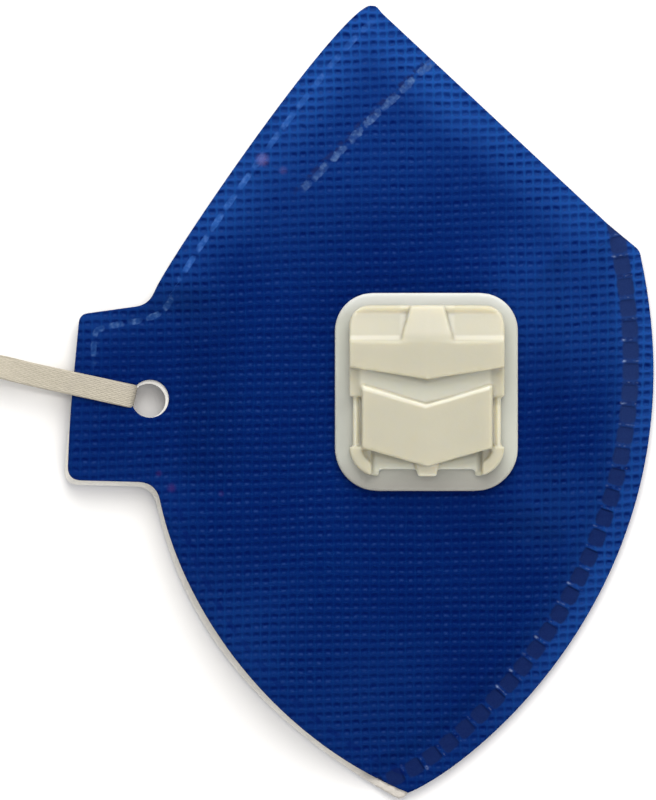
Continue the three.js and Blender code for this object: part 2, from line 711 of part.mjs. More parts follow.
// One flat closed ribbon: its wide way turns from across the strap to straight up and back.
function headStrap() {
  const { curve, noseSide } = strapCurve();
  const rows = STRAP_ROUTE.length;
  const up = new THREE.Vector3(0, 0, 1);
  const rings = [];
  for (let row = 0; row < rows; row += 1) {
    const here = STRAP_ROUTE[row];
    const next = STRAP_ROUTE[(row + 1) % rows];
    const length = Math.hypot(next.along - here.along, next.across - here.across);
    const cuts = length > STRAP.longStretch ? 3 : 2;
    for (let cut = 0; cut < cuts; cut += 1) {
      const share = cut / cuts;
      const t = (row + share) / rows;
      const edge = THREE.MathUtils.lerp(here.edge, next.edge, share) * (Math.PI / 2);
      const centre = curve.getPoint(t);
      const tangent = curve.getTangent(t);
      const wide = noseSide.clone().negate().multiplyScalar(Math.cos(edge));
      wide.addScaledVector(up, Math.sin(edge));
      wide.addScaledVector(tangent, -wide.dot(tangent)).normalize();
      const face = tangent.clone().cross(wide);
      const w = STRAP.width / 2;
      const h = STRAP.thickness / 2;
      const section = [
        [w, -h / 2], [w, h / 2], [w - h, h], [h - w, h],
        [-w, h / 2], [-w, -h / 2], [h - w, -h], [w - h, -h],
      ];
      rings.push(section.map(([across, through]) =>
        centre.clone().addScaledVector(wide, across).addScaledVector(face, through).toArray(),
      ));
    }
  }
  return geometryOf(solidOf(loft(rings, "closed")));
}

// ---------------------------------------------------------------- the mask

function mesh(name, geometry, material, place = [0, 0, 0]) {
  const piece = new THREE.Mesh(geometry, material);
  piece.name = name;
  piece.position.set(...place);
  return piece;
}

const mask = new THREE.Group();
const onFlange = [VALVE.x, VALVE.y, FLANGE_TOP];
mask.add(mesh("outer_cover", outerCover(), BLUE));
mask.add(mesh("inner_lining", innerLining(), WHITE));
mask.add(mesh("valve_base", valveBase(), FROSTED, [VALVE.x, VALVE.y, 0]));
mask.add(mesh("valve_flap", valveFlap(), FLAP_WHITE, [VALVE.x, VALVE.y, 0]));
mask.add(mesh("valve_cover", valveCover(), CREAM, onFlange));
mask.add(mesh("head_strap", headStrap(), ELASTIC));

// The folded mask, without its strap, is centred over the origin.
const cloth = new THREE.Box3().setFromObject(mask.getObjectByName("outer_cover"));
const middle = cloth.getCenter(new THREE.Vector3());
mask.position.set(-middle.x, -middle.y, 0);

export default mask;
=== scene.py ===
"""The looks of a fold-flat respirator mask with an exhalation valve, lying folded on a pale floor.

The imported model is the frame, and finer pieces stand for its nodes. Lengths are the mask's own
millimetres until a mesh is made: X runs from the open face side to the welded seam, Y from the chin
to the nose, Z up.
"""

import math

import bpy
import numpy as np
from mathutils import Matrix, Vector
from mathutils.geometry import delaunay_2d_cdt


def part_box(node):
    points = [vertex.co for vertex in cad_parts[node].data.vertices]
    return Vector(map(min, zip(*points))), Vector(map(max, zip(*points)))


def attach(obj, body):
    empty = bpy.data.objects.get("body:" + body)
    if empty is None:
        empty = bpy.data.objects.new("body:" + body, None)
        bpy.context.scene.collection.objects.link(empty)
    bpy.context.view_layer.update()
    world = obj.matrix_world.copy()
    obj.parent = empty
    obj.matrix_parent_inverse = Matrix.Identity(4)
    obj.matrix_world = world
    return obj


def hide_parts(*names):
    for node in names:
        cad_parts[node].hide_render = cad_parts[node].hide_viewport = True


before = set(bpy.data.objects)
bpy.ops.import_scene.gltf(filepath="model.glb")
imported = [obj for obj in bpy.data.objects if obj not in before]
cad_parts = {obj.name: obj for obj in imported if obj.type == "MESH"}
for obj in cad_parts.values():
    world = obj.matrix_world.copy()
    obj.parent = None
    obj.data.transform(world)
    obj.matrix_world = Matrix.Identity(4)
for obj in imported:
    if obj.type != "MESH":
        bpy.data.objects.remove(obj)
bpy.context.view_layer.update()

# ---- driving dimensions

MM = 0.001
WALL = 1.0  # each layer of cloth
GAP = 0.3  # the CAD's clearance between its pieces
SKIN = 0.03  # the clearance between layers of cloth here
SEAM_MARGIN = 6.5  # welded strip along the seam, pressed flat
FOLD_MARGIN = 0.8  # pinched crease along the fold
# How far in from these two the halves part, the hollow opens and the lining starts.
PARTING, OPENING, LINING_START = 5.0, 2.0, 4.4
LINING_DIP = 0.6  # how far the back lining dips there
# At the chin, below CHIN_TOP, the back lining is tucked under the front half.
TUCK, CHIN_TOP, CHIN = 0.4, -60, (9.0, -88.0)
EDGE_LIFT, EDGE_REACH = 0.8, 14  # the closed edges' rise off the table, and its reach
CROWN, CROWN_REACH = 9.6, 42  # the greatest hollow between the linings, and its reach
MOUTH_DROP, MOUTH_REACH = 0.3, 14  # share of it lost at the open face edge
NOSE_DROP, NOSE_START, NOSE_REACH = 0.35, 18, 30  # more of it along the upper face edge

# The ear tab: how far it rises, the hollow between its linings, its middle and half length in Y, how
# far beside it that fades, and where in X the lift and the pressing come in.
TAB_LIFT, TAB_HOLLOW = 1.6, 1.0
TAB_MIDDLE, TAB_HALF, TAB_BESIDE = 1, 17, 10
TAB_LIFTED, TAB_PRESSED = (-39, -47), (-24, -48)

VALVE_X, VALVE_Y = 14.2, 1.9
VALVE_HOLLOW, VALVE_BLEND = 8.8, 12  # the hollow under its seat, and its reach
FLANGE_WIDTH, FLANGE_LENGTH = 40.6, 43.9
# The holes for the valve's barrel and in the tab: x, y and radius.
BORE = (VALVE_X, VALVE_Y, 13.5)
FRONT_HOLE = (-47.0, 0.5, 4.2)
BACK_HOLE = (-47.4, 0.1, 3.9)
LINING_HOLE = (-47.35, 0.05, 3.8)

# The folded outline.
PEAK = (3.3, 87.9)
KNEES = ((4.6, 86.3), (54.7, 39.5))
CORNER = ((61.2, 34.1), (62.1, 33.3), (62.2, 31.9))
SEAM_CURVE = ((77.5, -38.4), (25.9, -80.9), (10.4, -87.2))
BACK_CHIN = ((9.9, -88.0), (8.6, -88.6))
FACE_PEAK = (1.7, 88.0)
FACE_UPPER = ((-6.4, 85.0), (-42.8, 31.8))
# Each corner of the ear tab: x, y, and how far from it its rounding starts.
FRONT_TAB = (
    (-47.2, 21.4, 3.0),
    (-62.65, 19.25, 1.8),
    (-64.75, -3.0, 6.0),
    (-65.4, -17.6, 3.2),
    (-45.6, -18.1, 4.0),
)
BACK_TAB = ((-47.3, 21.5, 3.0), (-62.7, 19.3, 1.8), (-66.4, -18.6, 3.4), (-46.4, -19.1, 4.0))
FRONT_LOWER = ((-38.9, -49.5), (-16.9, -75.9), (10.0, -87.0))
BACK_LOWER = ((-39.3, -53.1), (-19.4, -73.1), (7.7, -88.3))
# The straight pieces of each curve.
SEAM_CUTS, FACE_CUTS, CORNER_CUTS, TAB_CUTS = 60, 40, 8, 6

# Soft dents and swells (below 0) of the front half: place, reach along and across, turn in degrees
# and depth.
DENTS = (
    (6, 33, 36, 8, 14, 1.1),
    (14, 52, 26, 10, 14, -0.7),
    (45, -4, 16, 7, 80, 0.9),
    (-16, -16, 18, 8, 10, 0.8),
    (42, -32, 18, 9, 60, -0.7),
    (20, -54, 20, 9, 40, 0.9),
    (43, 11, 17, 10, 0, -2.2),
)

# The emboss of the cloth. Its rows rise to the right. Its columns sway in two waves (height, length,
# start) and its rows in one.
PITCH, EMBOSS_DEPTH = 2.01, 0.17
ROW_GROOVE = 0.35  # share of the depth that runs on between the pits of a row
ROW_RISE = math.tan(math.radians(1.9))
COLUMN_SWAYS = ((0.35, 21, 0.6), (0.16, 8.5, 0.0))
ROW_SWAY, ROW_SWAY_LENGTHS = 0.12, (6.5, 11)
# Low on the mask the rows level out to the right, far right they rise ever more.
LEVEL_X, LEVEL_WIDTH, LEVEL_Y, LEVEL_REACH = -12, 50, -42, 30
LEVEL_DROP = 1.0
RIGHT_X, RIGHT_RISE = 25, 0.0005

# The cloth's meshes: how far out the lattice goes, and the faces to a pitch, in front and elsewhere.
LATTICE_X, LATTICE_Y = 72, 96
FINE_CUTS, PLAIN_CUTS = 4, 2
CUT_SHARES = (0.02, 0.98)  # an edge is never cut nearer to its ends than this
INVERSE_STEPS = 8
TRIANGLES_INSIDE, SAME_PLACE = 1, 1e-7  # the kind of triangulation, and what it takes for one place
NO_LENGTH = 1e-9

# The welds, each a row of presses: along and across are a press's size, pitch the distance between
# two, first where the first one's middle lies.
WELDS = {
    "seam_weld": {"pitch": 4.74, "first": 4.2, "along": 3.75, "across": 3.6, "depth": 0.38},
    "face_weld": {"pitch": 5.54, "first": 2.2, "along": 4.0, "across": 1.3, "depth": 0.16},
    "tab_weld": {"pitch": 4.3, "first": 1.9, "along": 3.1, "across": 1.3, "depth": 0.14},
    "pocket_weld": {"pitch": 5.5, "first": 2.6, "along": 4.3, "across": 1.65, "depth": 0.18},
    "lower_weld": {"pitch": 5.5, "first": 4.0, "along": 3.4, "across": 1.2, "depth": 0.1},
}
SEAM_WELD_INSET = (4.2, 5.6)  # how far in it lies, at its ends and in its middle
SEAM_WELD_PAST = (8, 6)  # how far past the seam's ends it goes
FACE_WELD_INSET, FACE_WELD_SHORT = 3.6, 5  # it ends so many points before the tab
PRESS_EDGE = (0.8, 0.35)  # where a press's edge starts and how wide it is, as shares
TAB_WELD_LINE = (
    (-42.0, 23.2), (-43.4, 20.6), (-45.7, 18.9), (-49.2, 17.8), (-58.1, 16.3), (-59.5, 14.9),
    (-59.5, 8.2),
)
POCKET_WELD_LINE = ((16.2, 75.9), (10.0, 70.1), (1.9, 62.4), (-5.2, 54.8), (-13.5, 46.5))


# ---- curves and distances

def smooth(value):
    t = np.clip(value, 0, 1)
    return t * t * (3 - 2 * t)


def bezier(controls, cuts):
    """Points of a Bezier curve of any degree, its first one left out."""
    degree = len(controls) - 1
    t = np.linspace(0, 1, cuts + 1)[1:, None]
    terms = [
        math.comb(degree, i) * t**i * (1 - t) ** (degree - i) * np.array(control, float)
        for i, control in enumerate(controls)
    ]
    return sum(terms)


def towards(start, end, distance):
    start, end = np.array(start, float), np.array(end, float)
    return start + (end - start) * distance / np.linalg.norm(end - start)


def face_upper(tab):
    end = towards(tab[0][:2], FACE_UPPER[1], tab[0][2])
    return np.vstack([[FACE_PEAK], bezier((FACE_PEAK, *FACE_UPPER, end), FACE_CUTS)])


def face_lower(tab, lower):
    start = towards(tab[-1][:2], lower[0], tab[-1][2])
    return np.vstack([[start], bezier((start, *lower), FACE_CUTS)])


def face_line(tab, lower):
    corners = [np.array(corner[:2]) for corner in tab]
    parts = [face_upper(tab)]
    for i, (x, y, reach) in enumerate(tab):
        before = parts[-1][-1] if i == 0 else towards((x, y), corners[i - 1], reach)
        after = towards((x, y), lower[0] if i + 1 == len(tab) else corners[i + 1], reach)
        parts.append([before])
        parts.append(bezier((before, (x, y), after), TAB_CUTS))
    parts.append(face_lower(tab, lower)[1:])
    return np.vstack(parts)


def inset_line(line, margin):
    """The line moved to its left, seen along it, by one distance or by one for each point."""
    along = np.gradient(line, axis=0)
    along /= np.linalg.norm(along, axis=1)[:, None]
    left = np.stack([-along[:, 1], along[:, 0]], axis=1)
    return line + np.reshape(margin, (-1, 1)) * left


def longer_line(line, before, after):
    """The line carried straight on past both ends."""
    start = towards(line[0], line[1], -before)
    end = towards(line[-1], line[-2], -after)
    return np.vstack([[start], line, [end]])


def rounded_line(line, times=3):
    line = np.array(line, float)
    for _ in range(times):
        cuts = [line[:-1] * (1 - share) + line[1:] * share for share in (0.25, 0.75)]
        line = np.vstack([line[:1], np.stack(cuts, axis=1).reshape(-1, 2), line[-1:]])
    return line


def nearest(line, points):
    """Each point's distance to a line, and how far along the line its nearest place is."""
    best = np.full(len(points), np.inf)
    place = np.zeros(len(points))
    travelled = 0.0
    for a, b in zip(line[:-1], line[1:]):
        step = b - a
        length = math.hypot(*step)
        if length < NO_LENGTH:
            continue
        share = np.clip((points - a) @ step / length**2, 0, 1)
        distance = np.hypot(*(points - a - share[:, None] * step).T)
        closer = distance < best
        best[closer] = distance[closer]
        place[closer] = travelled + share[closer] * length
        travelled += length
    return best, place


def side_of(line, points):
    """Each point's distance to the left of a line, and how far along it lies."""
    distance, place = nearest(line, points)
    spots = np.interp(place, lengths(line), np.arange(len(line)))
    first = np.clip(spots.astype(int), 0, len(line) - 2)
    step = line[first + 1] - line[first]
    away = points - line[first]
    left = step[:, 0] * away[:, 1] - step[:, 1] * away[:, 0]
    return np.where(left >= 0, distance, -distance), place


def lengths(line):
    """How far along a line each of its points is."""
    return np.concatenate([[0], np.cumsum(np.linalg.norm(np.diff(line, axis=0), axis=1))])


def inside(outline, points):
    """Each point's distance in from a closed outline, negative outside."""
    within = np.zeros(len(points), bool)
    x, y = points.T
    for (ax, ay), (bx, by) in zip(outline, np.roll(outline, -1, axis=0)):
        if ay != by:
            between = (ay > y) != (by > y)
            within ^= between & (x < ax + (bx - ax) * (y - ay) / (by - ay))
    distance = nearest(np.vstack([outline, outline[:1]]), points)[0]
    return np.where(within, distance, -distance)


CLOSED = np.vstack([
    [PEAK, *KNEES, CORNER[0]], bezier(CORNER, CORNER_CUTS), bezier((CORNER[2], *SEAM_CURVE), SEAM_CUTS)
])
FOLD = np.array([PEAK, *KNEES, CORNER[0]])
SEAM = np.vstack([[CORNER[2]], bezier((CORNER[2], *SEAM_CURVE), SEAM_CUTS)])
FRONT_EDGE = face_line(FRONT_TAB, FRONT_LOWER)
BACK_EDGE = face_line(BACK_TAB, BACK_LOWER)


# ---- the cloth's heights

def clear(points):
    """Distance in from the inner border of the welded strip and of the crease."""
    return np.minimum(nearest(FOLD, points)[0] - FOLD_MARGIN, nearest(SEAM, points)[0] - SEAM_MARGIN)


def tab_share(points, ends):
    beside = 1 - smooth((np.abs(points[:, 1] - TAB_MIDDLE) - TAB_HALF) / TAB_BESIDE)
    return smooth((points[:, 0] - ends[0]) / (ends[1] - ends[0])) * beside


def back_underside(points, room):
    edge = EDGE_LIFT * (1 - smooth((room + SEAM_MARGIN) / EDGE_REACH))
    return np.maximum(edge, TAB_LIFT * tab_share(points, TAB_LIFTED))


def dents(points):
    total = np.zeros(len(points))
    for x, y, along, across, turn, depth in DENTS:
        cosine, sine = math.cos(math.radians(turn)), math.sin(math.radians(turn))
        away = points - (x, y)
        a = (away[:, 0] * cosine + away[:, 1] * sine) / along
        b = (away[:, 1] * cosine - away[:, 0] * sine) / across
        total += depth * np.exp(-a * a - b * b)
    return total


def hollow(points, room):
    """The clear height between the two linings."""
    rise = np.clip((room - PARTING) / CROWN_REACH, 0, 1)
    crown = 1 - (1 - rise) ** 2
    drop = MOUTH_DROP + NOSE_DROP * smooth((points[:, 1] - NOSE_START) / NOSE_REACH)
    mouth = 1 - drop * np.exp(-nearest(FRONT_EDGE, points)[0] / MOUTH_REACH)
    opened = (CROWN * mouth - dents(points)) * crown
    pressed = tab_share(points, TAB_PRESSED)
    free = opened + (np.minimum(opened, TAB_HOLLOW) - opened) * pressed
    beside = np.abs(points[:, 0] - VALVE_X) - FLANGE_WIDTH / 2
    beyond = np.abs(points[:, 1] - VALVE_Y) - FLANGE_LENGTH / 2
    valve = 1 - smooth(np.maximum(np.maximum(beside, beyond), 0) / VALVE_BLEND)
    return free + (VALVE_HOLLOW - free) * valve


def sheet_heights(points):
    """The underside of the back cover, and the underside of the front cover."""
    room = clear(points)
    low = back_underside(points, room)
    layers = 2 * (WALL + GAP) * smooth(room / PARTING)
    return low, low + WALL + layers + hollow(points, room) * smooth(room / OPENING)


# ---- cloth meshes

def lattice_place(u, v):
    """Where a place of the emboss lattice lies on the mask: rows rise to the right and sway."""
    x = PITCH * u
    for height, length, start in COLUMN_SWAYS:
        x = x + height * np.sin(PITCH * v / length + start)
    along, up = ROW_SWAY_LENGTHS
    y = PITCH * v + ROW_RISE * x + ROW_SWAY * np.sin(x / along - PITCH * v / up)
    level = np.exp(-(((PITCH * v - LEVEL_Y) / LEVEL_REACH) ** 2))
    y = y - LEVEL_DROP * level * smooth((x - LEVEL_X) / LEVEL_WIDTH)
    y = y + RIGHT_RISE * np.maximum(x - RIGHT_X, 0) ** 2
    return np.stack([x, y], axis=-1)


def whole_lattice(cuts):
    """The u and v of every place of the lattice, with so many cuts to a pitch."""
    spans = [
        np.arange(-reach * cuts // PITCH, reach * cuts // PITCH + 1) / cuts
        for reach in (LATTICE_X, LATTICE_Y)
    ]
    return np.meshgrid(*spans)


def clipped_lattice(inner, cuts):
    """Lattice places and faces of the cells where inner(points) is above 0, cut along its zero line."""
    u, v = whole_lattice(cuts)
    value = inner(lattice_place(u, v).reshape(-1, 2)).reshape(u.shape)
    keep = value > 0
    index = np.full(u.shape, -1)
    index[keep] = np.arange(keep.sum())
    vertices = list(map(tuple, np.stack([u[keep], v[keep]], axis=1)))
    corners = np.stack([index[:-1, :-1], index[:-1, 1:], index[1:, 1:], index[1:, :-1]], axis=-1)
    whole = (corners >= 0).all(-1)
    faces = [tuple(face) for face in corners[whole].tolist()]
    cut_points = {}

    def crossing(a, b):
        key = (a, b) if a < b else (b, a)
        if key not in cut_points:
            share = np.clip(value[a] / (value[a] - value[b]), *CUT_SHARES)
            place = (u[a] + (u[b] - u[a]) * share, v[a] + (v[b] - v[a]) * share)
            cut_points[key] = len(vertices)
            vertices.append(place)
        return cut_points[key]

    partly = (corners >= 0).any(-1) & ~whole
    for row, column in zip(*np.nonzero(partly)):
        around = [(row, column), (row, column + 1), (row + 1, column + 1), (row + 1, column)]
        face = []
        for here, after in zip(around, around[1:] + around[:1]):
            if keep[here]:
                face.append(int(index[here]))
            if keep[here] != keep[after]:
                face.append(crossing(here, after))
        faces.append(tuple(face))
    return np.array(vertices, float), faces


def left_of(border, triangles):
    """The triangles to the left of a border's directed edges, and all that these are joined to."""
    owner = {}
    for i, (a, b, c) in enumerate(triangles):
        owner[a, b] = owner[b, c] = owner[c, a] = i
    closed = {*border, *((b, a) for a, b in border)}
    kept = {owner[edge] for edge in border if edge in owner}
    waiting = list(kept)
    while waiting:
        a, b, c = triangles[waiting.pop()]
        for edge in ((b, a), (c, b), (a, c)):
            beyond = owner.get(edge)
            if beyond is not None and beyond not in kept and edge not in closed:
                kept.add(beyond)
                waiting.append(beyond)
    return [triangles[i] for i in sorted(kept)]


def cloth_mesh(name, inner, top, bottom, cuts, lines=None):
    """A closed wall of cloth: a finely cut top and a bottom of fewer faces, joined by a rim.

    top and bottom give heights. An attribute named like each of the lines says how far along and
    beside it a place is."""
    lattice, faces = clipped_lattice(inner, cuts)
    points = lattice_place(*lattice.T)
    upper = np.column_stack([points, top(points, lattice)])

    edges = {}
    for face in faces:
        for a, b in zip(face, face[1:] + face[:1]):
            if (b, a) in edges:
                del edges[b, a]
            else:
                edges[a, b] = True
    rim = list(edges)
    rim_vertices = sorted({vertex for edge in rim for vertex in edge})
    order = {vertex: i for i, vertex in enumerate(rim_vertices)}

    coarse = lattice_place(*whole_lattice(1)).reshape(-1, 2)
    coarse = coarse[inner(coarse) > PITCH / 2]
    places = [Vector(point) for point in np.vstack([points[rim_vertices], coarse])]
    rim_edges = [(order[a], order[b]) for a, b in rim]
    made, _, triangles, origin, _, _ = delaunay_2d_cdt(
        places, rim_edges, [], TRIANGLES_INSIDE, SAME_PLACE, True
    )
    made = np.array([tuple(vertex) for vertex in made])
    below = np.column_stack([made, bottom(made)])
    under = {}
    for i, sources in enumerate(origin):
        for source in sources:
            under[source] = i
    border = [(under[a], under[b]) for a, b in rim_edges]
    triangles = left_of(border, triangles)

    top_count = len(upper)
    faces += [tuple(top_count + i for i in reversed(triangle)) for triangle in triangles]
    faces += [(b, a, top_count + c, top_count + d) for (a, b), (c, d) in zip(rim, border)]
    mesh = new_mesh(name, np.vstack([upper, below]), faces)
    everywhere = np.vstack([points, made])
    add_attribute(mesh, "lattice", np.vstack([lattice, inverse_lattice(made)]))
    for attribute, line in (lines or {}).items():
        beside, along = side_of(line, everywhere)
        add_attribute(mesh, attribute, np.column_stack([along, beside]))
    return mesh


def inverse_lattice(points):
    """The lattice place of each point, found in a few steps."""
    guess = points / PITCH
    for _ in range(INVERSE_STEPS):
        guess = guess - (lattice_place(*guess.T) - points) / PITCH
    return guess


def add_attribute(mesh, name, values):
    attribute = mesh.attributes.new(name, "FLOAT_VECTOR", "POINT")
    vectors = np.zeros((len(mesh.vertices), 3), np.float32)
    vectors[: len(values), : values.shape[1]] = values
    attribute.data.foreach_set("vector", vectors.ravel())


def new_mesh(name, points, faces):
    """A mesh at points in the mask's own millimetres."""
    mesh = bpy.data.meshes.new(name)
    mesh.from_pydata(((points + SHIFT) * MM).tolist(), [], faces)
    mesh.update()
    mesh.shade_smooth()
    return mesh


def add_object(name, data):
    made = bpy.data.objects.new(name, data)
    bpy.context.scene.collection.objects.link(made)
    return made


def add_piece(name, mesh, material, node):
    """A visible piece, fixed to the part's body, that stands for a node of the CAD."""
    piece = add_object(name, mesh)
    mesh.materials.clear()
    mesh.materials.append(material)
    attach(piece, "root")
    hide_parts(node)
    return piece


def frame_shift():
    """From the mask's own coordinates to the frame's: the folded cover is centred in the frame."""
    every = np.vstack([CLOSED, FRONT_EDGE, BACK_EDGE])
    own = (every.min(0) + every.max(0)) / 2
    cover = np.mean(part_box("outer_cover"), axis=0) / MM
    return np.array([*(cover[:2] - own), 0.0])


SHIFT = frame_shift()


# ---- values in a material's nodes

def add_node(tree, kind, settings, *values, **named):
    """A shader node, with its inputs given in order or by name."""
    node = tree.nodes.new("ShaderNode" + kind)
    for key, value in settings.items():
        setattr(node, key, value)
    inputs = {name.replace("_", " "): value for name, value in named.items()}
    for key, value in [*enumerate(values), *inputs.items()]:
        value = value.socket if isinstance(value, Value) else value
        if isinstance(value, bpy.types.NodeSocket):
            tree.links.new(value, node.inputs[key])
        else:
            node.inputs[key].default_value = value
    return node


class Value:
    """A number that a material works out at each place of a surface."""

    def __init__(self, tree, socket):
        self.tree = tree
        self.socket = socket

    def work(self, operation, *others):
        node = add_node(self.tree, "Math", {"operation": operation}, self, *others)
        return Value(self.tree, node.outputs[0])

    def __add__(self, other):
        return self.work("ADD", other)

    def __sub__(self, other):
        return self.work("SUBTRACT", other)

    def __mul__(self, other):
        return self.work("MULTIPLY", other)

    def __truediv__(self, other):
        return self.work("DIVIDE", other)

    def __rsub__(self, other):
        return self.work("MULTIPLY", -1.0).work("ADD", other)

    __radd__ = __add__
    __rmul__ = __mul__

    def size(self):
        return self.work("ABSOLUTE")

    def off_centre(self):
        """From the nearest whole number to this one, -0.5 to 0.5."""
        return (self + 0.5).work("FRACT") - 0.5

    def whole(self):
        return self.work("ROUND")

    def rising(self, low, high):
        """0 up to low and 1 from high on, with a smooth step between them."""
        step = {"interpolation_type": "SMOOTHSTEP"}
        node = add_node(self.tree, "MapRange", step, Value=self, From_Min=low, From_Max=high)
        return Value(self.tree, node.outputs["Result"])

    def within(self, half, soft):
        """1 where the number is less than half from 0, falling to 0 over soft."""
        return 1 - self.size().rising(half - soft / 2, half + soft / 2)

    def near(self, middle, half, soft):
        """The same about middle."""
        return (self - middle).within(half, soft)

    def at_least(self, low):
        """A share from 0 to 1, raised to run from low to 1."""
        return self * (1 - low) + low

    def chance(self, seed=0.0):
        """A random number from 0 to 1 for each value of this one."""
        line = {"noise_dimensions": "1D"}
        node = add_node(self.tree, "TexWhiteNoise", line, W=self + seed)
        return Value(self.tree, node.outputs["Value"])


class Material:
    """A material being made, with values and colours to feed its shader."""

    def __init__(self, name, **inputs):
        self.material = bpy.data.materials.new(name)
        self.material.use_nodes = True
        self.tree = self.material.node_tree
        self.shader = self.tree.nodes["Principled BSDF"]
        self.colour = None
        for key, value in inputs.items():
            self.shader.inputs[key.replace("_", " ")].default_value = value

    def split(self, vector):
        parts = add_node(self.tree, "SeparateXYZ", {}, vector)
        return Value(self.tree, parts.outputs["X"]), Value(self.tree, parts.outputs["Y"])

    def place(self):
        return add_node(self.tree, "TexCoord", {}).outputs["Object"]

    def attribute(self, name):
        node = add_node(self.tree, "Attribute", {"attribute_name": name})
        return self.split(node.outputs["Vector"])

    def noise(self, size, detail=2.0, stretch=(1, 1, 1)):
        """Noise from 0 to 1, in clouds about size millimetres across."""
        scale = [1 / (size * MM * part) for part in stretch]
        scaled = add_node(self.tree, "Mapping", {}, Vector=self.place(), Scale=scale)
        place = scaled.outputs["Vector"]
        node = add_node(self.tree, "TexNoise", {}, Scale=1.0, Detail=detail, Vector=place)
        return Value(self.tree, node.outputs["Fac"])

    def away_from(self, x, y):
        """How far a place is to the right of (x, y) of the mask and above it."""
        right, up = self.split(self.place())
        return right * (1 / MM) - (x + SHIFT[0]), up * (1 / MM) - (y + SHIFT[1])

    def place_from(self, x, y):
        away_x, away_y = self.away_from(x, y)
        return (away_x * away_x + away_y * away_y).work("SQRT")

    def mix(self, first, second, share):
        """A colour between two, each a socket or (red, green, blue)."""
        node = add_node(self.tree, "Mix", {"data_type": "RGBA", "clamp_factor": True}, share)
        for slot, colour in ((node.inputs[6], first), (node.inputs[7], second)):
            if isinstance(colour, bpy.types.NodeSocket):
                self.tree.links.new(colour, slot)
            else:
                slot.default_value = (*colour, 1)
        return node.outputs[2]

    def lay(self, tint, share):
        self.colour = self.mix(self.colour, tint, share)

    def feed(self, name, value):
        socket = value.socket if isinstance(value, Value) else value
        self.tree.links.new(socket, self.shader.inputs[name])

    def finished(self, height, distance=1.0):
        """The material, with its colour and relief: height is in millimetres, times distance."""
        relief = add_node(self.tree, "Bump", {}, Distance=distance * MM, Height=height)
        self.feed("Normal", relief.outputs["Normal"])
        self.feed("Base Color", self.colour)
        return self.material


# ---- cloth materials

CLOTH_DARK_TONE_AND_SHADE = (0.0008, 0.006, 0.07)
CLOTH_WEB = (0.0009, 0.01, 0.09)
CLOTH_PAINTED_LIGHT = (0.0112, 0.0585, 0.268)
CLOTH_FILM_LIT = (0.014, 0.04, 0.165)
CLOTH_FIBRE = (0.01, 0.056, 0.215)
CLOTH_CYAN = (0.001, 0.06, 0.21)
SEAM_PRESS = (0.0055, 0.0135, 0.07)
SEAM_PRESS_LIGHT = (0.0115, 0.025, 0.096)
SEAM_SHADE = (0.001, 0.003, 0.026)
SEAM_FLECK = (0.2, 0.27, 0.45)
FACE_PRESS = (0.02, 0.08, 0.29)
FACE_FLECK = (0.08, 0.17, 0.45)
TAB_PRESS = (0.018, 0.06, 0.2)
TAB_FLECK = (0.12, 0.2, 0.38)
POCKET_PRESS = (0.04, 0.085, 0.22)
POCKET_FLECK = (0.105, 0.18, 0.335)
CREASE_SHADE = (0.0085, 0.015, 0.075)
LOWER_PRESS = (0.0015, 0.007, 0.08)
PINK_MARK = (0.22, 0.14, 0.28)
RED_MARK = (0.05, 0.012, 0.09)

# Painted light, where the cloth is a little paler: place, reach and share.
PAINTED_LIGHT_PATCHES = (
    (47, 24, 30, 0.36),
    (-18, 44, 26, 0.15),
    (42, -24, 17, 0.28),
    (3, -66, 24, 0.16),
    (-59, 19, 10, 0.14),
    (-38, 22, 12, 0.16),
    (-27, -50, 22, 0.15),
)

# Stray marks, pink by the nose and red at the lower left: place, size, colour, strength.
MARKS = (
    (-22.0, 53.6, 2.0, PINK_MARK, 0.34),
    (-17.4, 51.2, 1.3, PINK_MARK, 0.14),
    (-45.0, -16.1, 1.0, RED_MARK, 0.40),
    (-42.2, -19.3, 1.4, RED_MARK, 0.50),
    (-31.1, -20.6, 0.9, RED_MARK, 0.30),
)

# The parts of a cell of the emboss, in shares of the pitch: where each one's middle is, across or
# along the cell, how far it reaches to both sides, and how soft its edge is.
ROW, RIB, BETWEEN_COLUMNS = (0.12, 0.20, 0.36), (-0.24, 0.12, 0.34), (0.0, 0.43, 0.14)
DASH_ACROSS, DASH_ALONG = (0.0, 0.27, 0.32), (0.13, 0.15, 0.24)
FLANK_ACROSS, FLANK_ALONG = (0.32, 0.05, 0.16), (0.0, 0.22, 0.20)
FLOOR_ACROSS, FLOOR_ALONG = (0.0, 0.18, 0.30), (-0.22, 0.10, 0.26)
PIT_ACROSS, PIT_ALONG = (0.0, 0.36, 0.22), (0.02, 0.36, 0.22)
RUFFLE, SWAY = 0.30, 0.36  # how far noise moves the cells across and along
NEXT_ROW = 57.3  # between the cell numbers of two rows
# Painted light: the cloth turns paler upwards towards the nose and in from its outline.
LIT_NOSE_ROWS = (12, 42)  # the rows between which it turns paler upwards
LIT_RIM = 13  # how far in from the outline it is pale


def presses(made, attribute, soft, wear):
    """1 in a weld's presses, each press's number, and how far along and beside its middle a place is.

    wear moves their rounded outlines in or out, as a share of half a press."""
    weld = WELDS[attribute]
    along, beside = made.attribute(attribute)
    number = (along - weld["first"]) / weld["pitch"]
    off = number.off_centre() * weld["pitch"]
    spread = (off / (weld["along"] / 2)).work("POWER", 4.0)
    spread = spread + (beside / (weld["across"] / 2)).work("POWER", 4.0)
    press = 1 - (spread.work("POWER", 0.25) + wear).rising(1 - soft / 2, 1 + soft / 2)
    return press, number.whole(), off, beside


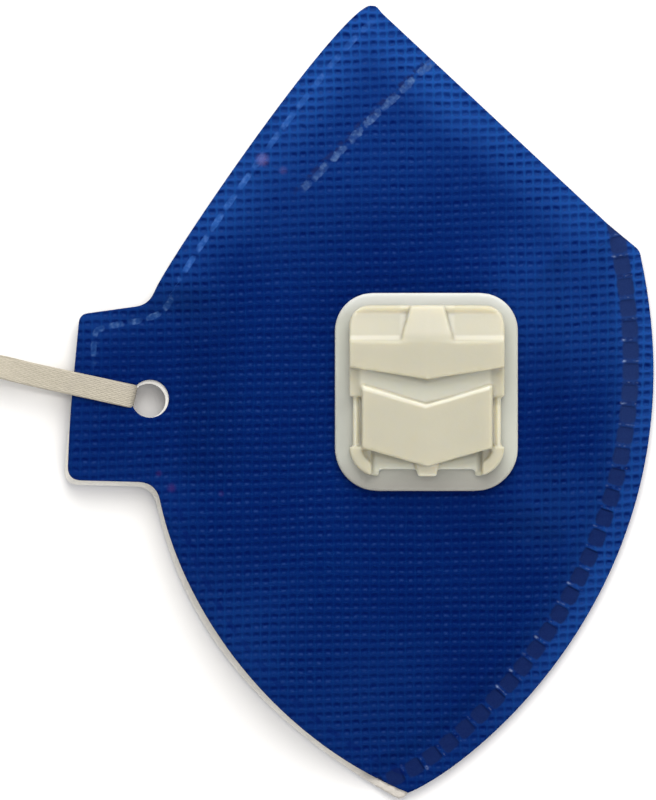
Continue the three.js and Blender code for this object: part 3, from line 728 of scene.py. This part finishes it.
def painted_light_share(made, u, v):
    """Painted light, paling the cloth towards the nose, along its rim and in a few soft patches."""
    rim = 1 - made.attribute("edge")[0].rising(0, LIT_RIM)
    pale = v.rising(*LIT_NOSE_ROWS) * 0.35
    pale = pale + rim * (u.rising(8, 28).work("MAXIMUM", v.rising(4, 30)) * 0.72 + 0.12)
    for x, y, reach, share in PAINTED_LIGHT_PATCHES:
        pale = pale + (1 - made.place_from(x, y).rising(reach * 0.1, reach)) * share
    return pale


def blue_cloth(welded):
    """Embossed blue spunbond: rows of dark dashes, a lighter floor under each, and loose fibres.
    The dashes are the pressed film's darker tone with painted shade on each pit's upper wall, the
    floors the film's tint with painted light on each pit's lower wall.
    """
    made = Material("blue spunbond", IOR=1.45, Specular_IOR_Level=0.0)
    u, v = made.attribute("lattice")
    across = (u + made.noise(1.6, 1.0) * RUFFLE - (1 + RUFFLE) / 2).off_centre()
    along = (v + made.noise(2.3, 1.0) * SWAY - (1 + SWAY) / 2).off_centre()
    cell = (u - 0.5).whole() + (v - 0.5).whole() * NEXT_ROW
    fleece = made.noise(0.30, 3.0)
    level_fibre = made.noise(0.22, stretch=(5, 1, 1))
    upright_fibre = made.noise(0.22, stretch=(1, 5, 1))
    patch = made.noise(7)
    pale = painted_light_share(made, u, v)

    shaded_dash = across.near(*DASH_ACROSS) * along.near(*DASH_ALONG)
    flank = across.size().near(*FLANK_ACROSS) * along.near(*FLANK_ALONG)
    floor = across.near(*FLOOR_ACROSS) * along.near(*FLOOR_ALONG)
    pit = across.near(*PIT_ACROSS) * along.near(*PIT_ALONG)

    fibres = level_fibre.rising(0.50, 0.68) * 0.6 + upright_fibre.rising(0.52, 0.70) * 0.5
    firm = cell.chance().at_least(0.40) * patch.rising(0.38, 0.60).at_least(0.50)
    # the pressed film's own tint with painted light on each pit's lower wall, which faces the light
    lit_film = floor * (cell.chance(7.0) * 0.74 + 0.16) * patch.rising(0.35, 0.60).at_least(0.65)
    # painted light pales the cloth; where it falls, the columns and fibres show more and the pits stay
    # darker
    made.colour = made.mix(CLOTH_WEB, CLOTH_PAINTED_LIGHT, pale)
    for tint, share in (
        (CLOTH_FIBRE, (fibres + fleece * 0.3) * (0.20 + 0.40 * pale)),
        (CLOTH_CYAN, (1 - across.near(*BETWEEN_COLUMNS)) * (0.05 + 0.30 * pale)),
        (CLOTH_FIBRE, along.near(*RIB) * (0.10 * fleece + 0.12 * fibres)),
        (CLOTH_WEB, pit * pale * 0.34),
        # painted shade along the rows of pits
        (CLOTH_DARK_TONE_AND_SHADE, along.near(*ROW) * (0.16 + 0.30 * fleece)),
        (CLOTH_FILM_LIT, lit_film),
        # painted shade on each pit's upper wall and sides, with the pressed film's darker tone
        (CLOTH_DARK_TONE_AND_SHADE, (shaded_dash + flank * 0.5) * firm),
        # darker in random clouds
        (CLOTH_DARK_TONE_AND_SHADE, made.noise(24).rising(0.35, 0.75) * 0.25),
    ):
        made.lay(tint, share)
    height = shaded_dash * -0.10 + floor * 0.05 + fibres * 0.05 + fleece * 0.05
    if welded:
        height = add_seam_weld(made, height, fleece)
        height = add_thin_welds(made, height)
        for x, y, size, tint, strength in MARKS:
            spot = 1 - made.place_from(x, y).rising(size * 0.1, size)
            made.lay(tint, spot * strength * (0.1 + 1.3 * fleece))
    made.feed("Roughness", 0.55 - floor * 0.15)
    return made.finished(height)


def add_seam_weld(made, height, fleece):
    """Dark squares with rounded corners, each with painted shade at its nose end, and pale fibres
    between.
    """
    weld = WELDS["seam_weld"]
    strand = made.noise(0.8)
    press, number, off, beside = presses(made, "seam_weld", 0.30, (strand - 0.5) * 0.25)
    nose_end = 1 - number.rising(7, 13)
    grey = made.mix(SEAM_PRESS, SEAM_PRESS_LIGHT, nose_end * 0.7 + fleece.rising(0.35, 0.65) * 0.3)
    strip = beside.within(weld["across"] / 2 - 0.1, 0.7) * nose_end
    made.lay(grey, strip * (0.50 + 0.40 * fleece))
    made.lay(grey, press * 0.92)
    # painted shade on each press's nose-side end wall, weaker in the presses near the nose
    end = (off + weld["along"] * 0.47).within(0.16, 0.40) * beside.within(1.5, 0.6)
    end = end * (1 - nose_end * 0.5)
    made.lay(SEAM_SHADE, end * (0.25 + 0.6 * number.chance(2.0)))
    between = number + off.work("SIGN") * 0.5
    reach = off.size() - weld["pitch"] / 2
    line = reach.within(0.12, 0.35) * beside.within(weld["across"] / 2, 0.5)
    made.lay(SEAM_FLECK, line * strand.rising(0.48, 0.72) * 0.25)
    side = between.chance(3.0).rising(0.78, 0.80) * 2 - 1
    fleck = reach.within(0.22, 0.45) * (beside - side * 1.5).within(0.35, 0.7)
    bright = between.chance(11.0).rising(0.45, 1.0)
    made.lay(SEAM_FLECK, fleck * bright * strand.rising(0.30, 0.62) * 0.7)
    return height * (1 - press)


# The thin welds: attribute, pressed and light colour, strength, raggedness, wear of the outline, and
# how it fades: between which presses, from and to which share.
THIN_WELDS = (
    ("face_weld", FACE_PRESS, FACE_FLECK, 0.85, 0.35, 0.5, (0.5, 6.5, 0.45, 1.0)),
    ("tab_weld", TAB_PRESS, TAB_FLECK, 0.85, 0.60, 0.5, (5.4, 5.6, 1.0, 0.3)),
    ("pocket_weld", POCKET_PRESS, POCKET_FLECK, 0.70, 0.60, 1.3, (6.90, 7.12, 1.0, 0.0)),
    ("lower_weld", LOWER_PRESS, LOWER_PRESS, 0.5, 0.3, 0.3, (0.0, 1.0, 1.0, 1.0)),
)


def add_thin_welds(made, height):
    """The thin welds: pressed clear in places, with fibres still pale across them."""
    tear = made.noise(1.2)
    pale = made.noise(1.5)
    torn = tear.rising(0.32, 0.56)
    for attribute, tint, light, strength, ragged, wear, fade in THIN_WELDS:
        weld = WELDS[attribute]
        press, number, off, beside = presses(made, attribute, 0.45, (pale - 0.5) * wear)
        share = press * number.chance(5.0).at_least(0.5) * torn.at_least(1 - ragged)
        pocket = attribute == "pocket_weld"
        place = number + off / weld["pitch"] if pocket else number
        low, high, start, end = fade
        share = share * (place.rising(low, high) * (end - start) + start)
        made.lay(tint, share * strength)
        made.lay(light, share * tear.rising(0.46, 0.78) * 0.5)
        height = height * (1 - press * 0.8)
        if pocket:
            # painted shade along the crease beside the pocket weld
            ridge = (beside + weld["across"] * 0.65).within(0.45, 0.8) * pale.rising(0.42, 0.56)
            reach = number.rising(-0.6, -0.4) * (1 - number.rising(6.6, 7.4))
            made.lay(CREASE_SHADE, ridge * reach * 0.75)
    return height


LINING_LIGHT, LINING_DARK = (0.82, 0.795, 0.735), (0.68, 0.655, 0.61)
# The warm painted shade on the lining near the chin, and how far it reaches.
LINING_CHIN_SHADE, CHIN_SHADE_REACH = (0.50, 0.455, 0.40), (2, 24)


def white_cloth():
    """White fleece, with a warm painted shade where the weld ends at the chin."""
    made = Material("white lining", Roughness=0.8)
    fleece = made.noise(0.5, 4.0)
    made.colour = made.mix(LINING_LIGHT, LINING_DARK, made.noise(9) * fleece * 2)
    # painted shade near the chin
    chin_shade = 1 - made.place_from(*CHIN).rising(*CHIN_SHADE_REACH)
    made.lay(LINING_CHIN_SHADE, chin_shade * fleece.at_least(0.6))
    return made.finished(fleece, 0.12)


# Painted highlights on the louvre's edges that face the light: the panel's upper edge, rising to
# both sides from its notch, and the band's on both sides of the ridge.
PANEL_NOTCH, PANEL_RISE, PANEL_HALF = (14.1, -0.9), 0.29, 14.2
BAND_TOP, BAND_HALF, RIDGE_HALF = (14.5, 13.6), 17.0, 6.0
# Recesses with painted light that lifts their shade: the channel over the panel and the pockets under
# it (middle, rise to both sides, half height and width, share), the slots beside it and the window
# ends.
LIT_RECESSES = ((2.75, 0.22, 2.1, 14.5, 0.9), (-15.4, 0.21, 1.7, 11.5, 0.8))
SLOTS_ACROSS, SLOTS_ALONG = (15.9, 0.9, 0.8), (-4.3, 4.3, 1.0)
WINDOW_ENDS = (6.2, 0.7, 0.8)

MOULDED = {"Roughness": 0.42, "IOR": 1.49, "Subsurface_Scale": 1.0}
CREAM_LIGHT, CREAM_DARK = (0.445, 0.42, 0.322), (0.41, 0.39, 0.298)
CREAM_RECESS_LIGHT, CREAM_HIGHLIGHT = (0.66, 0.62, 0.49), (0.66, 0.64, 0.55)
CREAM_DEPTHS = (0.0048, 0.0040, 0.0026)


def cream_plastic():
    made = Material("cream plastic", **MOULDED, Subsurface_Weight=1.0, Subsurface_Radius=CREAM_DEPTHS)
    made.colour = made.mix(CREAM_LIGHT, CREAM_DARK, made.noise(14, 1.0))
    x, y = made.away_from(*PANEL_NOTCH)
    panel = (y - x.size() * PANEL_RISE + 0.3).within(0.45, 0.5) * x.within(PANEL_HALF, 0.4)
    # painted light in the slots, the channel, the pockets and the window ends, lifting their shade
    recess_light = x.size().near(*SLOTS_ACROSS) * y.near(*SLOTS_ALONG) * 0.36
    for middle, rise, half, wide, share in LIT_RECESSES:
        level = (y - x.size() * rise).near(middle, half, 1.0)
        recess_light = recess_light + level * x.within(wide, 1.0) * share
    x, y = made.away_from(*BAND_TOP)
    ridge = x.within(RIDGE_HALF, 0.8)
    outside = x.within(BAND_HALF, 0.6) * (1 - ridge)
    recess_light = recess_light + y.near(*WINDOW_ENDS) * outside * 0.4
    made.lay(CREAM_RECESS_LIGHT, recess_light)
    # painted highlights on the panel's upper edge, the band's top edges and the ridge
    edges = (panel + y.near(0.4, 0.5, 0.6) * outside) * 0.58 + ridge * y.rising(0, 2) * 0.28
    made.lay(CREAM_HIGHLIGHT, edges)
    return made.finished(made.noise(0.8), 0.015)


FROST_LIGHT, FROST_DARK = (0.46, 0.465, 0.405), (0.41, 0.415, 0.36)
FROST_LOWER_LEFT_SHADE, FROST_BOTTOM_SHADE = (0.33, 0.335, 0.30), (0.24, 0.225, 0.20)
FROST_TOP_LIGHT = (0.58, 0.59, 0.58)
FROST_DEPTHS = (0.0025, 0.0028, 0.0028)


def frosted_plastic():
    made = Material("frosted plastic", **MOULDED, Subsurface_Weight=0.6, Subsurface_Radius=FROST_DEPTHS)
    x, y = made.away_from(VALVE_X, VALVE_Y)
    made.colour = made.mix(FROST_LIGHT, FROST_DARK, made.noise(11, 1.0))
    # painted shade on the lower left and the bottom, where the rim turns from the light and the cover
    # shades it, and painted light along the top
    lower_left_shade = (1 - x.rising(-19, -15)) * (1 - y.rising(-4, 8))
    made.lay(FROST_LOWER_LEFT_SHADE, lower_left_shade * 0.6)
    made.lay(FROST_BOTTOM_SHADE, (1 - y.rising(-23, -13)) * 0.8)
    made.lay(FROST_TOP_LIGHT, y.rising(15, 22) * 0.65)
    return made.finished(made.noise(0.5), 0.012)


def flap_rubber():
    made = Material("flap silicone", Roughness=0.5)
    made.colour = made.mix((0.70, 0.68, 0.62), (0.62, 0.60, 0.55), made.noise(4))
    return made.finished(made.noise(0.6), 0.02)


ELASTIC_DARK, ELASTIC_LIGHT = (0.345, 0.312, 0.240), (0.505, 0.455, 0.365)
ELASTIC_CLOUD = (0.37, 0.335, 0.280)
STITCH_LENGTH, STITCH_WIDTH, STITCH_SLANT = 2.1, 0.40, 0.045


def knitted_elastic():
    """Long slanting stitches, each row half a stitch on from the last."""
    made = Material("knitted elastic", Roughness=0.72)
    along, across = made.attribute("strap")
    rows = (across + along * STITCH_SLANT) / STITCH_WIDTH
    place = along / STITCH_LENGTH + rows.whole() * 0.5
    stitch = place.off_centre().within(0.36, 0.26) * rows.off_centre().within(0.30, 0.34)
    number = place.whole() + rows.whole() * 31.7
    fuzz = made.noise(0.25, 3.0)
    shade = stitch * number.chance().at_least(0.35) * 0.7 + fuzz * 0.45
    made.colour = made.mix(ELASTIC_DARK, ELASTIC_LIGHT, shade)
    made.lay(ELASTIC_CLOUD, made.noise(6).rising(0.45, 0.8) * 0.4)
    return made.finished(stitch * 0.09 + fuzz * 0.05)


# ---- the cloth pieces

def outline_of(edge):
    tip = BACK_CHIN if edge is BACK_EDGE else ()
    return np.vstack([CLOSED, *[[point] for point in tip], edge[::-1]])


def cover_inside(edge, holes):
    """How far inside the cover each point is, with round holes cut out."""
    outline = outline_of(edge)

    def inner(points):
        value = inside(outline, points)
        for x, y, radius in holes:
            value = np.minimum(value, np.hypot(points[:, 0] - x, points[:, 1] - y) - radius)
        return value
    return inner


def lining_inside(edge, holes):
    """The lining starts inside the weld and the crease. The back one goes on to the chin."""
    whole = cover_inside(edge, holes)

    def inner(points):
        seam = nearest(SEAM, points)[0] - SEAM_MARGIN - LINING_START
        fold = nearest(FOLD, points)[0] - FOLD_MARGIN - LINING_START
        covered = np.minimum(seam, fold)
        if edge is BACK_EDGE:
            bare = np.where(points[:, 1] < CHIN_TOP, TUCK - side_of(FRONT_EDGE, points)[0], -1)
            covered = np.maximum(covered, bare)
        return np.minimum(whole(points), covered)
    return inner


def press_share(line, weld, points):
    beside, along = side_of(line, points)
    number = (along - weld["first"]) / weld["pitch"]
    off = (number - np.round(number)) * weld["pitch"]
    spread = (off / (weld["along"] / 2)) ** 4 + (beside / (weld["across"] / 2)) ** 4
    start, width = PRESS_EDGE
    return 1 - smooth((spread**0.25 - start) / width)


def emboss(lattice):
    """0 on the ridges, down to -1 in the middle of each pit."""
    pit_u = 0.5 - 0.5 * np.cos(2 * np.pi * lattice[:, 0])
    pit_v = 0.5 - 0.5 * np.cos(2 * np.pi * lattice[:, 1])
    return -pit_v * (ROW_GROOVE + (1 - ROW_GROOVE) * pit_u)


def seam_weld_line():
    line = longer_line(SEAM, *SEAM_WELD_PAST)
    ends, middle = SEAM_WELD_INSET
    share = np.sin(np.pi * lengths(line) / lengths(line)[-1])
    return inset_line(line, -(ends + (middle - ends) * share))


WELD_LINES = {
    "seam_weld": seam_weld_line(),
    "face_weld": inset_line(face_upper(FRONT_TAB), FACE_WELD_INSET)[:-FACE_WELD_SHORT],
    "tab_weld": rounded_line(TAB_WELD_LINE),
    "pocket_weld": rounded_line(POCKET_WELD_LINE),
    "lower_weld": inset_line(face_lower(FRONT_TAB, FRONT_LOWER), FACE_WELD_INSET),
}


# How a cut edge or a crease is rolled down: over what distance, and how far.
CUT_ROLL = (0.8, 0.3)
UNDER_ROLL = (0.8, 0.09)
LINING_ROLL = (1.2, 0.5)
FRONT_CREASE, BACK_CREASE = (1.6, 0.55), (1.6, 0.3)


def rounding(value, roll):
    reach, depth = roll
    return depth * (1 - smooth(value / reach))


def add_cover(name, edge, *shape):
    """A piece of the cover, which tells its material how far in from the outline each vertex is."""
    mesh = cloth_mesh(name, *shape)
    flat = np.zeros(3 * len(mesh.vertices), np.float32)
    mesh.vertices.foreach_get("co", flat)
    places = flat.reshape(-1, 3)[:, :2] / MM - SHIFT[:2]
    add_attribute(mesh, "edge", inside(outline_of(edge), places)[:, None])
    return add_piece(name, mesh, blue_cloth(edge is FRONT_EDGE), "outer_cover")


def add_lining(name, *shape):
    mesh = cloth_mesh(name, *shape, PLAIN_CUTS)
    return add_piece(name, mesh, white_cloth(), "inner_lining")


def front_cover():
    inner = cover_inside(FRONT_EDGE, [FRONT_HOLE, BORE])

    def top(points, lattice):
        relief = EMBOSS_DEPTH * emboss(lattice)
        for attribute, line in WELD_LINES.items():
            weld = WELDS[attribute]
            press = press_share(line, weld, points)
            relief = relief * (1 - press) - weld["depth"] * press
        crease = nearest(FOLD, points)[0]
        roll = rounding(inner(points), CUT_ROLL) + rounding(crease, FRONT_CREASE)
        return sheet_heights(points)[1] + WALL + relief - roll

    def bottom(points):
        return sheet_heights(points)[1] + SKIN

    return add_cover("cover_front", FRONT_EDGE, inner, top, bottom, FINE_CUTS, WELD_LINES)


def back_cover():
    inner = cover_inside(BACK_EDGE, [BACK_HOLE])

    def top(points, _):
        return sheet_heights(points)[0] + WALL - rounding(inner(points), UNDER_ROLL)

    def bottom(points):
        crease = nearest(FOLD, points)[0]
        roll = rounding(inner(points), CUT_ROLL) + rounding(crease, BACK_CREASE)
        return sheet_heights(points)[0] + roll

    return add_cover("cover_back", BACK_EDGE, inner, top, bottom, PLAIN_CUTS)


def front_lining():
    inner = lining_inside(FRONT_EDGE, [LINING_HOLE, BORE])
    return add_lining(
        "lining_front", inner,
        lambda points, _: sheet_heights(points)[1] - SKIN,
        lambda points: sheet_heights(points)[1] - WALL,
    )


def back_lining():
    inner = lining_inside(BACK_EDGE, [BACK_HOLE])

    def top(points, _):
        near_seam = 1 - smooth(clear(points) / PARTING)
        roll = rounding(inner(points), LINING_ROLL)
        return sheet_heights(points)[0] + 2 * WALL - roll - LINING_DIP * near_seam

    return add_lining(
        "lining_back", inner, top, lambda points: sheet_heights(points)[0] + WALL + SKIN
    )


# ---- the valve

def moulded(node, name, material, grain, rounds):
    """A copy of a CAD node in even faces of size grain, smoothed so that its edges are rounded."""
    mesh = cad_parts[node].data.copy()
    mesh.name = name
    piece = add_piece(name, mesh, material, node)
    remesh = piece.modifiers.new("even faces", "REMESH")
    remesh.mode = "VOXEL"
    remesh.voxel_size = grain * MM
    remesh.use_smooth_shade = True
    soften = piece.modifiers.new("rounded edges", "SMOOTH")
    soften.factor = 0.5
    soften.iterations = rounds


# ---- the strap

STRAP_WIDTH, STRAP_THICKNESS = 5.2, 0.7
STRAP_SLOPE = 12.2  # the degrees from -X to the nose side of its way out
STRAP_HOLE = FRONT_HOLE[:2] - np.array([0, 0.3])
STRAP_CLEAR = GAP + STRAP_THICKNESS / 2 + 0.05
TAB_TOP = TAB_LIFT + 4 * WALL + 2 * GAP + TAB_HOLLOW
STRAP_TOP = TAB_TOP + STRAP_CLEAR
STRAP_UNDER = TAB_LIFT - STRAP_CLEAR
ON_EDGE = STRAP_WIDTH / 2 + 0.1

# The strap's closed loop: how far from the tab hole away from the mask and to the nose side, the
# height, and the turn from lying flat (0) to standing on its edge (1).
STRAP_ROUTE = (
    (3.7, 0, (TAB_TOP + TAB_LIFT) / 2, 0),
    (3.7, 0, TAB_TOP - 1.3, 0),
    (4.1, 0, TAB_TOP, 0),
    (5.6, 0, STRAP_TOP, 0),
    (10, 0, STRAP_TOP, 0),
    (18, 0, STRAP_TOP - 0.05, 0),
    (27, 0, STRAP_TOP - 0.7, 0.1),
    (37, 0.2, STRAP_TOP - 2.4, 0.42),
    (56, 4, 4.8, 0.62),
    (78, 14, ON_EDGE + 0.3, 0.95),
    (104, 29, ON_EDGE, 1),
    (134, 39, ON_EDGE, 1),
    (162, 33, ON_EDGE, 1),
    (178, 10, ON_EDGE, 1),
    (176, -16, ON_EDGE, 1),
    (158, -35, ON_EDGE, 1),
    (130, -39, ON_EDGE, 1),
    (100, -28, ON_EDGE, 1),
    (76, -14, ON_EDGE, 0.95),
    (55, -3.6, 2.25, 0.5),
    (37, 0, STRAP_UNDER, 0.02),
    (27, 0, STRAP_UNDER, 0),
    (18, 0, STRAP_UNDER, 0),
    (10, 0, STRAP_UNDER, 0),
    (5.6, 0, STRAP_UNDER, 0),
    (4.1, 0, TAB_LIFT, 0),
    (3.7, 0, TAB_LIFT + 1.3, 0),
)
RIBS = 9
RIB_CUTS = 4  # faces to a rib
RIB_RELIEF = 0.03
SELVEDGE_CUTS = 6
RING_STEP = 0.55
ROUTE_CUTS = 60  # to each step of the route, to measure it


def through_points(points, shares):
    """Places on a closed centripetal Catmull-Rom curve, with their directions.

    A share of 2.5 is halfway from the third point to the fourth."""
    count = len(points)
    places, directions = [], []
    for share in shares:
        first = int(share) % count
        w = share - int(share)
        p0, p1, p2, p3 = (points[(first + step) % count] for step in (-1, 0, 1, 2))
        t0, t1, t2 = (np.linalg.norm(b - a) ** 0.5 for a, b in ((p0, p1), (p1, p2), (p2, p3)))
        m1 = ((p1 - p0) / t0 - (p2 - p0) / (t0 + t1) + (p2 - p1) / t1) * t1
        m2 = ((p2 - p1) / t1 - (p3 - p1) / (t1 + t2) + (p3 - p2) / t2) * t1
        c2 = 3 * (p2 - p1) - 2 * m1 - m2
        c3 = 2 * (p1 - p2) + m1 + m2
        places.append(p1 + m1 * w + c2 * w**2 + c3 * w**3)
        directions.append(m1 + 2 * c2 * w + 3 * c3 * w**2)
    directions = np.array(directions)
    return np.array(places), directions / np.linalg.norm(directions, axis=1)[:, None]


def strap_section():
    """The strap's outline across: fine ribs above and below, and rounded selvedges."""
    half, thick = STRAP_WIDTH / 2, STRAP_THICKNESS / 2
    across = np.linspace(-half + thick, half - thick, RIBS * RIB_CUTS + 1)
    ribs = np.cos(2 * np.pi * np.linspace(0, RIBS, RIBS * RIB_CUTS + 1))
    ribs = thick - RIB_RELIEF * (0.5 + 0.5 * ribs)
    turns = np.linspace(math.pi / 2, -math.pi / 2, SELVEDGE_CUTS + 1)[1:-1]
    right = [(half - thick + thick * math.cos(t), (thick - RIB_RELIEF) * math.sin(t)) for t in turns]
    first_half = np.array([*zip(across, ribs), *right])
    return np.vstack([first_half, -first_half])


def round_lengths(points):
    return lengths(np.vstack([points, points[:1]]))


def strap_rings():
    """Even steps round the loop: the places, and the strap's wide way and its face at each."""
    turn = math.radians(180 - STRAP_SLOPE)
    away = np.array([math.cos(turn), math.sin(turn), 0])
    nose_side = np.array([away[1], -away[0], 0])
    up = np.array([0, 0, 1])
    points = np.array([
        (*STRAP_HOLE, 0) + away * along + nose_side * across + up * height
        for along, across, height, _ in STRAP_ROUTE
    ])
    fine = np.arange(0, len(points), 1 / ROUTE_CUTS)
    travelled = round_lengths(through_points(points, fine)[0])
    count = round(travelled[-1] / RING_STEP)
    shares = np.interp(np.arange(count) * travelled[-1] / count, travelled, [*fine, len(points)])
    places, tangents = through_points(points, shares)
    turns = [row[3] for row in STRAP_ROUTE]
    edge = np.interp(shares, np.arange(len(points) + 1), [*turns, turns[0]]) * math.pi / 2
    wide = -nose_side * np.cos(edge)[:, None] + up * np.sin(edge)[:, None]
    wide -= tangents * (wide * tangents).sum(1)[:, None]
    wide /= np.linalg.norm(wide, axis=1)[:, None]
    return places, wide, np.cross(tangents, wide)


def head_strap():
    places, wide, face = strap_rings()
    section = strap_section()
    count, size = len(places), len(section)
    points = wide[:, None] * section[None, :, :1] + face[:, None] * section[None, :, 1:]
    points = (places[:, None] + points).reshape(-1, 3)
    ring = np.arange(count * size).reshape(count, size)
    after = np.roll(ring, -1, axis=0)
    faces = np.stack([ring, np.roll(ring, -1, axis=1), np.roll(after, -1, axis=1), after], axis=-1)
    mesh = new_mesh("elastic_strap", points, faces.reshape(-1, 4).tolist())
    along = np.repeat(round_lengths(places)[:-1], size)
    add_attribute(mesh, "strap", np.column_stack([along, np.tile(section[:, 0], count)]))
    piece = add_piece("elastic_strap", mesh, knitted_elastic(), "head_strap")
    path = ((places + SHIFT) * MM).tolist()


# ---- floor, light and camera

VIEW_HEIGHT, VIEW_LEVEL = 177.8, 6.0  # how much the view takes in, and at what height
VIEW_MIDDLE = (-7.44, 0.22)
CAMERA_DISTANCE = 3.0
SENSOR = 24.0
FLOOR_HALF = 3.0  # in metres
FLOOR_COLOUR = (0.93, 0.915, 0.895)


def add_camera():
    data = bpy.data.cameras.new("camera")
    data.sensor_fit = "VERTICAL"
    data.sensor_height = SENSOR
    data.lens = SENSOR * CAMERA_DISTANCE / (VIEW_HEIGHT * MM)
    camera = add_object("camera", data)
    middle = (np.array([*VIEW_MIDDLE, VIEW_LEVEL]) + SHIFT) * MM
    camera.location = middle + (0, 0, CAMERA_DISTANCE)
    bpy.context.scene.camera = camera


def add_floor():
    made = Material("floor", Roughness=0.9, Base_Color=(*FLOOR_COLOUR, 1))
    corners = [(FLOOR_HALF * x, FLOOR_HALF * y, 0) for x, y in ((-1, -1), (1, -1), (1, 1), (-1, 1))]
    mesh = bpy.data.meshes.new("floor")
    mesh.from_pydata(corners, [], [(0, 1, 2, 3)])
    mesh.materials.append(made.material)
    floor = add_object("floor", mesh)


# Each light's place and width in metres, power in watts and colour.
LIGHTS = (
    ("window", (0.02, 0.44, 0.45), 0.62, 4.3, (1.0, 0.99, 0.97)),
    ("fill", (0.25, -0.50, 0.40), 0.60, 1.3, (0.98, 0.98, 1.0)),
    ("ceiling", (0.0, 0.0, 0.80), 0.70, 1.3, (1.0, 0.98, 0.96)),
)
AMBIENT = (0.97, 0.98, 1.0)
AMBIENT_STRENGTH = 0.55


def add_lights():
    for name, place, width, power, colour in LIGHTS:
        data = bpy.data.lights.new(name, "AREA")
        data.shape = "DISK"
        data.size = width
        data.energy = power
        data.color = colour
        light = add_object(name, data)
        light.location = place
        light.rotation_euler = (-light.location).to_track_quat("-Z", "Y").to_euler()
    world = bpy.data.worlds.new("room")
    world.use_nodes = True
    background = world.node_tree.nodes["Background"]
    background.inputs["Color"].default_value = (*AMBIENT, 1)
    background.inputs["Strength"].default_value = AMBIENT_STRENGTH
    bpy.context.scene.world = world
    bpy.context.scene.view_settings.view_transform = "Standard"


# ---- the scene


add_camera()
head_strap()
add_floor()
add_lights()

for cloth in (front_cover(), back_cover(), front_lining(), back_lining()):
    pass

moulded("valve_base", "valve_flange", frosted_plastic(), grain=0.33, rounds=14)
moulded("valve_cover", "valve_louvre", cream_plastic(), grain=0.24, rounds=26)
moulded("valve_flap", "flap_disc", flap_rubber(), grain=0.30, rounds=4)
